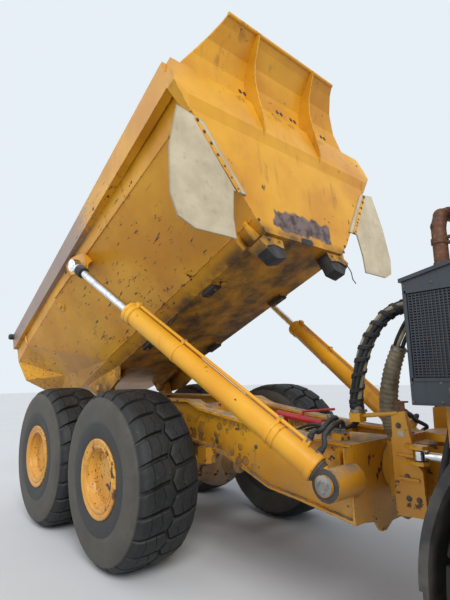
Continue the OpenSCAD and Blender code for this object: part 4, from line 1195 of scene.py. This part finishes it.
def make_sleeve():
    """A ribbed woven sleeve over the hoses that rise from the knuckle, then those hoses themselves."""
    line = smooth_line([at(*p) for p in SLEEVE_ROUTE], 40)
    radii = []
    for i in range(len(line)):
        share = i / (len(line) - 1)
        radii.append(SLEEVE_LOW_RADIUS - SLEEVE_THINNER * share + SLEEVE_RIB * math.sin(i * 1.05))
    sleeve = Mesh()
    sleeve.tube(line, radii, 28)
    sleeve.build("ribbed sleeve", "sleeve", "swivel_knuckle", angle=180)
    clamps = Mesh()
    for i in (5, len(line) - 7):
        d = (line[i + 1] - line[i - 1]).normalized()
        r = radii[i] + 0.006
        clamps.turned(line[i] - d * 0.009, d,
                      [(0.0, r - 0.009), (0.0, r), (0.018, r), (0.018, r - 0.009)], 32)
        a, b = frame_of(d)
        clamps.block(line[i] + a * (r + 0.006), (d, b, a), (0.009, 0.014, 0.010), 0.003)
    clamps.build("sleeve clamps", "steel", "swivel_knuckle")
    top = line[-1]
    d = (line[-1] - line[-3]).normalized()
    a, b = frame_of(d)
    black = Mesh()
    beige = Mesh()
    fittings = Mesh()
    for i, t in enumerate(angles(SLEEVE_HOSES, 0.4)):
        out = way_out(a, b, t)
        start = top - d * 0.03 + out * 0.034
        goal = at(PIVOT_X, 0.0, 2.70) + way_out(X_WAY, Y_WAY, t + 2.2) * 0.085
        route = smooth_line([start, start + d * 0.10, at(2.855, -0.205, 2.40) + out * 0.04,
                             at(2.95, -0.10, 2.52) + out * 0.045, goal - Z_WAY * 0.05,
                             goal + Z_WAY * 0.046], 8)
        (beige if i % 2 else black).tube(route, 0.016, 10)
        fittings.turned(goal + Z_WAY * 0.004, Z_WAY,
                        [(0.0, 0.023), (0.026, 0.023), (0.028, 0.019), (0.045, 0.019)], 6)
    black.build("black hoses of the sleeve", "hose", "swivel_knuckle")
    beige.build("beige hoses of the sleeve", "sleeve", "swivel_knuckle")
    # plate under the coupling that gathers the hose ends
    fittings.turned(at(PIVOT_X, 0, 2.730), Z_WAY,
                    [(0.0, 0.11), (0.003, 0.115), (0.012, 0.115), (0.0142, 0.11)], 32)
    fittings.build("hose ends at the coupling", "steel", "swivel_knuckle")


def make_articulation_fittings():
    """Bolts, ribs and brackets on the pillars, and the bare place of a label."""
    bolts = Mesh()
    plates = Mesh()
    pale = Mesh()
    brown = Mesh()
    for side in (-1, 1):
        # bolts and ribs on the pillars
        for x, z in ((2.76, 1.56), (2.80, 1.02), (2.88, 1.02), (2.80, 1.18)):
            bolts.bolt(at(x, side * 0.40, z), Y_WAY * side, 0.015)
        for z in (1.27, 1.445):
            plates.block(at(2.815, side * 0.408, z - 0.105), FACE, (0.085, 0.010, 0.010), 0.004)
    # bare place for a label on the near pillar
    pale.block(at(2.775, -0.4015, 1.50), FACE, (0.032, 0.026, 0.0012), 0.003)
    pale.build("bare label plates", "flap", "swivel_knuckle")
    # weathered bracket on top of the pillar
    for side in (-1, 1):
        brown.plate([at(2.715, side * 0.372, 1.652), at(2.815, side * 0.372, 1.672),
                     at(2.812, side * 0.372, 1.745), at(2.735, side * 0.372, 1.735)][::side], 0.012)
        brown.block(at(2.77, side * 0.36, 1.742), LEVEL, (0.052, 0.04, 0.006), 0.003)
        bolts.bolt(at(2.76, side * 0.365, 1.748), Z_WAY, 0.013)
        bolts.bolt(at(2.76, side * 0.3845, 1.70), Y_WAY * side, 0.011)
    brown.build("weathered pillar brackets", "pipe", "swivel_knuckle")
    plates.build("pillar ribs", "yellow", "swivel_knuckle")
    bolts.build("pillar bolts", "bolt", "swivel_knuckle")


def make_rear_frame_fittings():
    """Hose ends, valve, pipes, a box and bolts on the rear frame."""
    bolts = Mesh()
    steel = Mesh()
    boxes = Mesh()
    pipes = Mesh()
    for side in (-1, 1):
        # fittings on the hose blocks
        for *_, end_x in PORTS:
            steel.turned(at(end_x, side * 0.50, 1.474), Z_WAY,
                         [(0.0, 0.030), (0.018, 0.030), (0.02, 0.024), (0.036, 0.024)], 6)
        for y in (0.455, 0.545):
            bolts.bolt(at(2.331, side * y, 1.435), X_WAY, 0.010)
        # grease nipples along the frame's edge
        for x in (0.75, 1.35, 1.95):
            bolts.bolt(at(x, side * 0.602, 1.30 - 0.02 * x), Y_WAY * side, 0.014)
    # valve behind the strut with its fittings and pipes
    steel.block(at(2.04, -0.30, 1.475), LEVEL, (0.075, 0.055, 0.055), 0.012)
    steel.turned(at(2.04, -0.30, 1.52), Z_WAY,
                 [(0.0, 0.036), (0.05, 0.036), (0.056, 0.028), (0.085, 0.028)], 12)
    steel.turned(at(2.11, -0.30, 1.475), X_WAY,
                 [(0.0, 0.034), (0.03, 0.034), (0.032, 0.026), (0.055, 0.026)], 12)
    for y, z in ((-0.275, 1.46), (-0.325, 1.49)):
        pipes.tube(smooth_line([at(1.97, y, z), at(1.86, y, z + 0.01), at(1.70, y + 0.02, z - 0.03),
                                at(1.55, y + 0.02, z - 0.10)], 6), 0.014, 10)
    for y in (-0.28, -0.33):
        pipes.tube(smooth_line([at(2.16, y, 1.475), at(2.24, y - 0.03, 1.50), at(2.33, y - 0.06, 1.53),
                                at(2.40, y - 0.08, 1.60)], 6), 0.016, 10)
    pipes.build("pipes of the rear frame", "hose", "rear_body")
    # box on the frame behind the middle wheel
    boxes.block(at(0.30, -0.66, 0.995), LEVEL, (0.11, 0.055, 0.085), 0.012)
    boxes.build("box on the rear frame", "frame", "rear_body")
    bolts.build("rear frame bolts", "bolt", "rear_body")
    steel.build("hose fittings on the rear frame", "steel", "rear_body")


make_hose_bundle()
make_sleeve()
make_articulation_fittings()
make_rear_frame_fittings()


# Front half
COOLER_X = 3.405
COOLER_FACE = -1.052
GRILLE_MIDDLE = 2.21
GRILLE_HEIGHT = 0.52
GRILLE_WIDTH = 0.32
GRILLE_BARS = 31
GRILLE_UPRIGHTS = 14


def make_cooler_fittings():
    """Grille, frame, lower panel and bolts of the cooler housing, the exhaust's band and a tube."""
    wires = Mesh()
    for i in range(GRILLE_BARS):
        z = GRILLE_MIDDLE + GRILLE_HEIGHT * (i / (GRILLE_BARS - 1) - 0.5)
        wires.block(at(COOLER_X, COOLER_FACE + 0.009, z), LEVEL, (0.168, 0.0025, 0.0038))
    for i in range(GRILLE_UPRIGHTS):
        x = COOLER_X + GRILLE_WIDTH * (i / (GRILLE_UPRIGHTS - 1) - 0.5)
        wires.block(at(x, COOLER_FACE + 0.007, GRILLE_MIDDLE), LEVEL, (0.003, 0.0025, 0.268))
    wires.build("cooler grille wires", "charcoal", "front_body", smooth=False)
    trim = Mesh()
    for up in (-0.282, 0.282):
        trim.block(at(COOLER_X, COOLER_FACE, GRILLE_MIDDLE + up), FACE, (0.18, 0.010, 0.004), 0.003)
    for along in (-0.1765, 0.1765):
        trim.block(at(COOLER_X + along, COOLER_FACE, GRILLE_MIDDLE), (Z_WAY, X_WAY, Y_WAY),
                   (0.29, 0.008, 0.004), 0.003)
    # lower panel with its latch
    trim.block(at(3.40, -1.0515, 1.846), FACE, (0.165, 0.062, 0.003), 0.006)
    trim.build("cooler frame and panel", "charcoal", "front_body")
    bolts = Mesh()
    for x in (3.222, 3.404, 3.588):
        for z in (1.79, 1.905, 2.53):
            bolts.bolt(at(x, -1.051 if z > 1.95 else -1.055, z), -Y_WAY, 0.006)
    bolts.block(at(3.48, -1.058, 1.862), FACE, (0.032, 0.018, 0.004), 0.004)
    for z in (2.86, 2.90):
        bolts.block(at(3.405, -0.70, z), (Y_WAY, Z_WAY, X_WAY), (0.018, 0.010, 0.012), 0.004)
    bolts.build("cooler bolts and latch", "bolt", "front_body")
    band = Mesh()
    band.turned(at(3.345, -0.70, 2.70), Z_WAY,
                [(0, 0.050), (0, 0.0565), (0.024, 0.0565), (0.024, 0.050)], 28)
    band.build("exhaust band", "pipe", "front_body")
    tube = Mesh()
    tube.tube(smooth_line([at(3.30, -0.66, 1.80), at(3.275, -0.655, 1.60), at(3.20, -0.64, 1.36),
                           at(3.135, -0.60, 1.16), at(3.12, -0.52, 1.06)], 6), 0.026, 12)
    tube.build("dark drain tube", "hose", "front_body")


def make_cab_fittings():
    """Wipers on the windscreen and the beacon on the roof."""
    trim = Mesh()
    # wipers on the windscreen
    for y in (-0.28, 0.28):
        trim.tube([at(5.285, y, 2.66), at(5.275, y + 0.10, 2.95), at(5.262, y + 0.16, 3.20)], 0.009, 8)
        trim.turned(at(5.262, y, 2.66), X_WAY, [(0.0, 0.03), (0.03, 0.03), (0.035, 0.018)], 16)
    trim.build("wipers", "rubber", "front_body")
    beacon = Mesh()
    beacon.turned(at(3.95, 0.60, 3.795), Z_WAY, [(0.0, 0.06), (0.03, 0.06), (0.034, 0.05), (0.13, 0.046),
                                                (0.15, 0.03), (0.153, 0.0)], 24)
    beacon.build("roof beacon", "beacon", "front_body", angle=40)


def make_hood_fittings():
    """Rubber latches on both sides of the hood."""
    latches = Mesh()
    for side in (-1, 1):
        for x in (5.6, 6.7):
            latches.block(at(x, side * 0.738, 1.86), FACE, (0.03, 0.055, 0.008), 0.008)
            latches.bolt(at(x, side * 0.746, 1.86), Y_WAY * side, 0.010)
    latches.build("hood latches", "rubber", "hood_lid")


def make_fender_fittings():
    """The pale strip that hangs behind the right front wheel."""
    strip = Mesh()
    strip.block(at(3.463, -1.0, 0.745), LEVEL, (0.004, 0.13, 0.11), 0.003)
    strip.build("pale flap strip", "flap", "front_body", smooth=False)


# Wheels
RIM_BOLTS = 24
RIM_BOLT_RING = 0.205
RIM_FACE = TYRE_HALF_WIDTH - 0.106
VALVE_HEIGHT = 0.262


def make_rim_fittings():
    """On each rim a ring of bolts, the tyre's valve and a clip."""
    for wheel, x, side in WHEELS:
        centre = at(x, side * TYRE_SIDE, TYRE_RADIUS)
        out = Y_WAY * side
        bolts = Mesh()
        for t in angles(RIM_BOLTS, 0.1):
            bolts.bolt(centre + way_out(X_WAY, Z_WAY, t) * RIM_BOLT_RING + out * RIM_FACE, out, 0.010)
        bolts.turned(centre + Z_WAY * VALVE_HEIGHT + out * (RIM_FACE + 0.01), out,
                     [(0.0, 0.008), (0.04, 0.008), (0.042, 0.005), (0.06, 0.005)], 10)
        bolts.build("wheel bolts " + wheel, "rim", "wheel_" + wheel)
        clip = Mesh()
        clip.block(centre + Vector((0.292, 0, -0.02)) + out * (TYRE_HALF_WIDTH - 0.035),
                   (X_WAY, Z_WAY, out), (0.014, 0.035, 0.018), 0.004)
        clip.build("rim clip " + wheel, "rubber", "wheel_" + wheel)


# Lower ends of the hoist cylinders
PIN_CAP_BOLTS = 3


def make_pin_caps():
    """Caps on the lower pins, the greasy rings round them and each barrel's rubber boot."""
    steel = Mesh()
    grease = Mesh()
    for side, name in SIDES:
        centre = at(HOIST_LOW.x, 0, HOIST_LOW.z)
        out = Y_WAY * side
        steel.turned(centre + out * 0.979, out,
                     [(0.0, 0.074), (0.004, 0.074), (0.007, 0.068), (0.008, 0.0)], 32)
        for t in angles(PIN_CAP_BOLTS, 0.5):
            steel.bolt(centre + way_out(X_WAY, Z_WAY, t) * 0.045 + out * 0.986, out, 0.012)
        grease.turned(centre + out * 0.9555, out,
                      [(0.0, 0.124), (0.004, 0.118), (0.0065, 0.085), (0.0065, 0.0)], 36)
        low, d, _, _ = hoist_line(side)
        boot = Mesh()
        boot.turned(low, d, [(0.110, 0.078), (0.116, 0.0845), (0.125, 0.0855), (0.132, 0.0905),
                             (0.140, 0.0955), (0.147, 0.096), (0.155, 0.103), (0.163, 0.1062)], 32)
        boot.build("rubber boot of the hoist's foot " + name, "rubber", "hoist_barrel_" + name)
    steel.build("hoist pin caps", "steel", "rear_body")
    grease.build("greasy rings of the hoist pins", "rubber", "rear_body")


LAMP_ASIDE = 0.40
LAMP_HEIGHT = 1.52


def make_tail_lamps():
    """Two cases with two red lenses each at the frame's tail."""
    cases = Mesh()
    lenses = Mesh()
    for side in (-1, 1):
        cases.block(at(-2.242, side * LAMP_ASIDE, LAMP_HEIGHT), (Y_WAY, Z_WAY, X_WAY),
                    (0.075, 0.055, 0.022), 0.012)
        for y in (-0.032, 0.032):
            lenses.turned(at(-2.262, side * LAMP_ASIDE + y, LAMP_HEIGHT), -X_WAY,
                          [(0.0, 0.027), (0.008, 0.026), (0.012, 0.018), (0.013, 0.0)], 20)
    cases.build("tail lamp cases", "rubber", "rear_body")
    lenses.build("tail lamp lenses", "red lens", "rear_body", angle=60)


make_cooler_fittings()
make_cab_fittings()
make_hood_fittings()
make_fender_fittings()
make_rim_fittings()
make_pin_caps()
make_tail_lamps()


# Floor, background and light
FLOOR_SIZE = 140
FLOOR_GREYS = ((0.50, 0.505, 0.51), (0.58, 0.585, 0.59))
SOFT_LIGHT = (0.86, 0.92, 1.0, 1)
SOFT_STRENGTH = 0.78
BACKGROUND = (0.80, 0.87, 0.92, 1)
# each sun: name, strength, width in degrees, turn in degrees
SUNS = (("daylight", 2.5, 28, (52, 0, 62)), ("fill", 0.5, 60, (60, 0, -40)))


def make_floor():
    """A pale studio floor."""
    bpy.ops.mesh.primitive_plane_add(size=FLOOR_SIZE, location=(0, 0, 0))
    floor = bpy.context.object
    floor.name = "floor"
    m, tree, shader = finish("studio floor")
    c = mix(tree, noise(tree, own_place(tree), 0.6, 4.0), *FLOOR_GREYS)
    tree.links.new(c, shader.inputs["Base Color"])
    shader.inputs["Roughness"].default_value = 0.9
    floor.data.materials.append(m)


def make_world():
    """A soft sky that lights the truck, and a pale background where the camera sees past it."""
    world = bpy.data.worlds.new("studio")
    bpy.context.scene.world = world
    world.use_nodes = True
    tree = world.node_tree
    rays = add(tree, "ShaderNodeLightPath")
    seen = calc(tree, "MAXIMUM", rays.outputs["Is Camera Ray"], rays.outputs["Is Transmission Ray"])
    soft = tree.nodes["Background"]
    soft.inputs["Color"].default_value = SOFT_LIGHT
    soft.inputs["Strength"].default_value = SOFT_STRENGTH
    pale = add(tree, "ShaderNodeBackground", {"Color": BACKGROUND, "Strength": 1.0})
    choice = add(tree, "ShaderNodeMixShader", {0: seen, 1: soft.outputs[0], 2: pale.outputs[0]})
    tree.links.new(choice.outputs[0], tree.nodes["World Output"].inputs["Surface"])


def make_suns():
    """A wide sun and a weaker one from the other side."""
    for name, strength, width, turn in SUNS:
        light = bpy.data.lights.new(name, "SUN")
        light.energy = strength
        light.angle = math.radians(width)
        lamp = bpy.data.objects.new(name, light)
        bpy.context.scene.collection.objects.link(lamp)
        lamp.rotation_euler = tuple(math.radians(v) for v in turn)


bpy.context.scene.view_settings.view_transform = "Standard"
make_camera()
make_floor()
make_world()
make_suns()
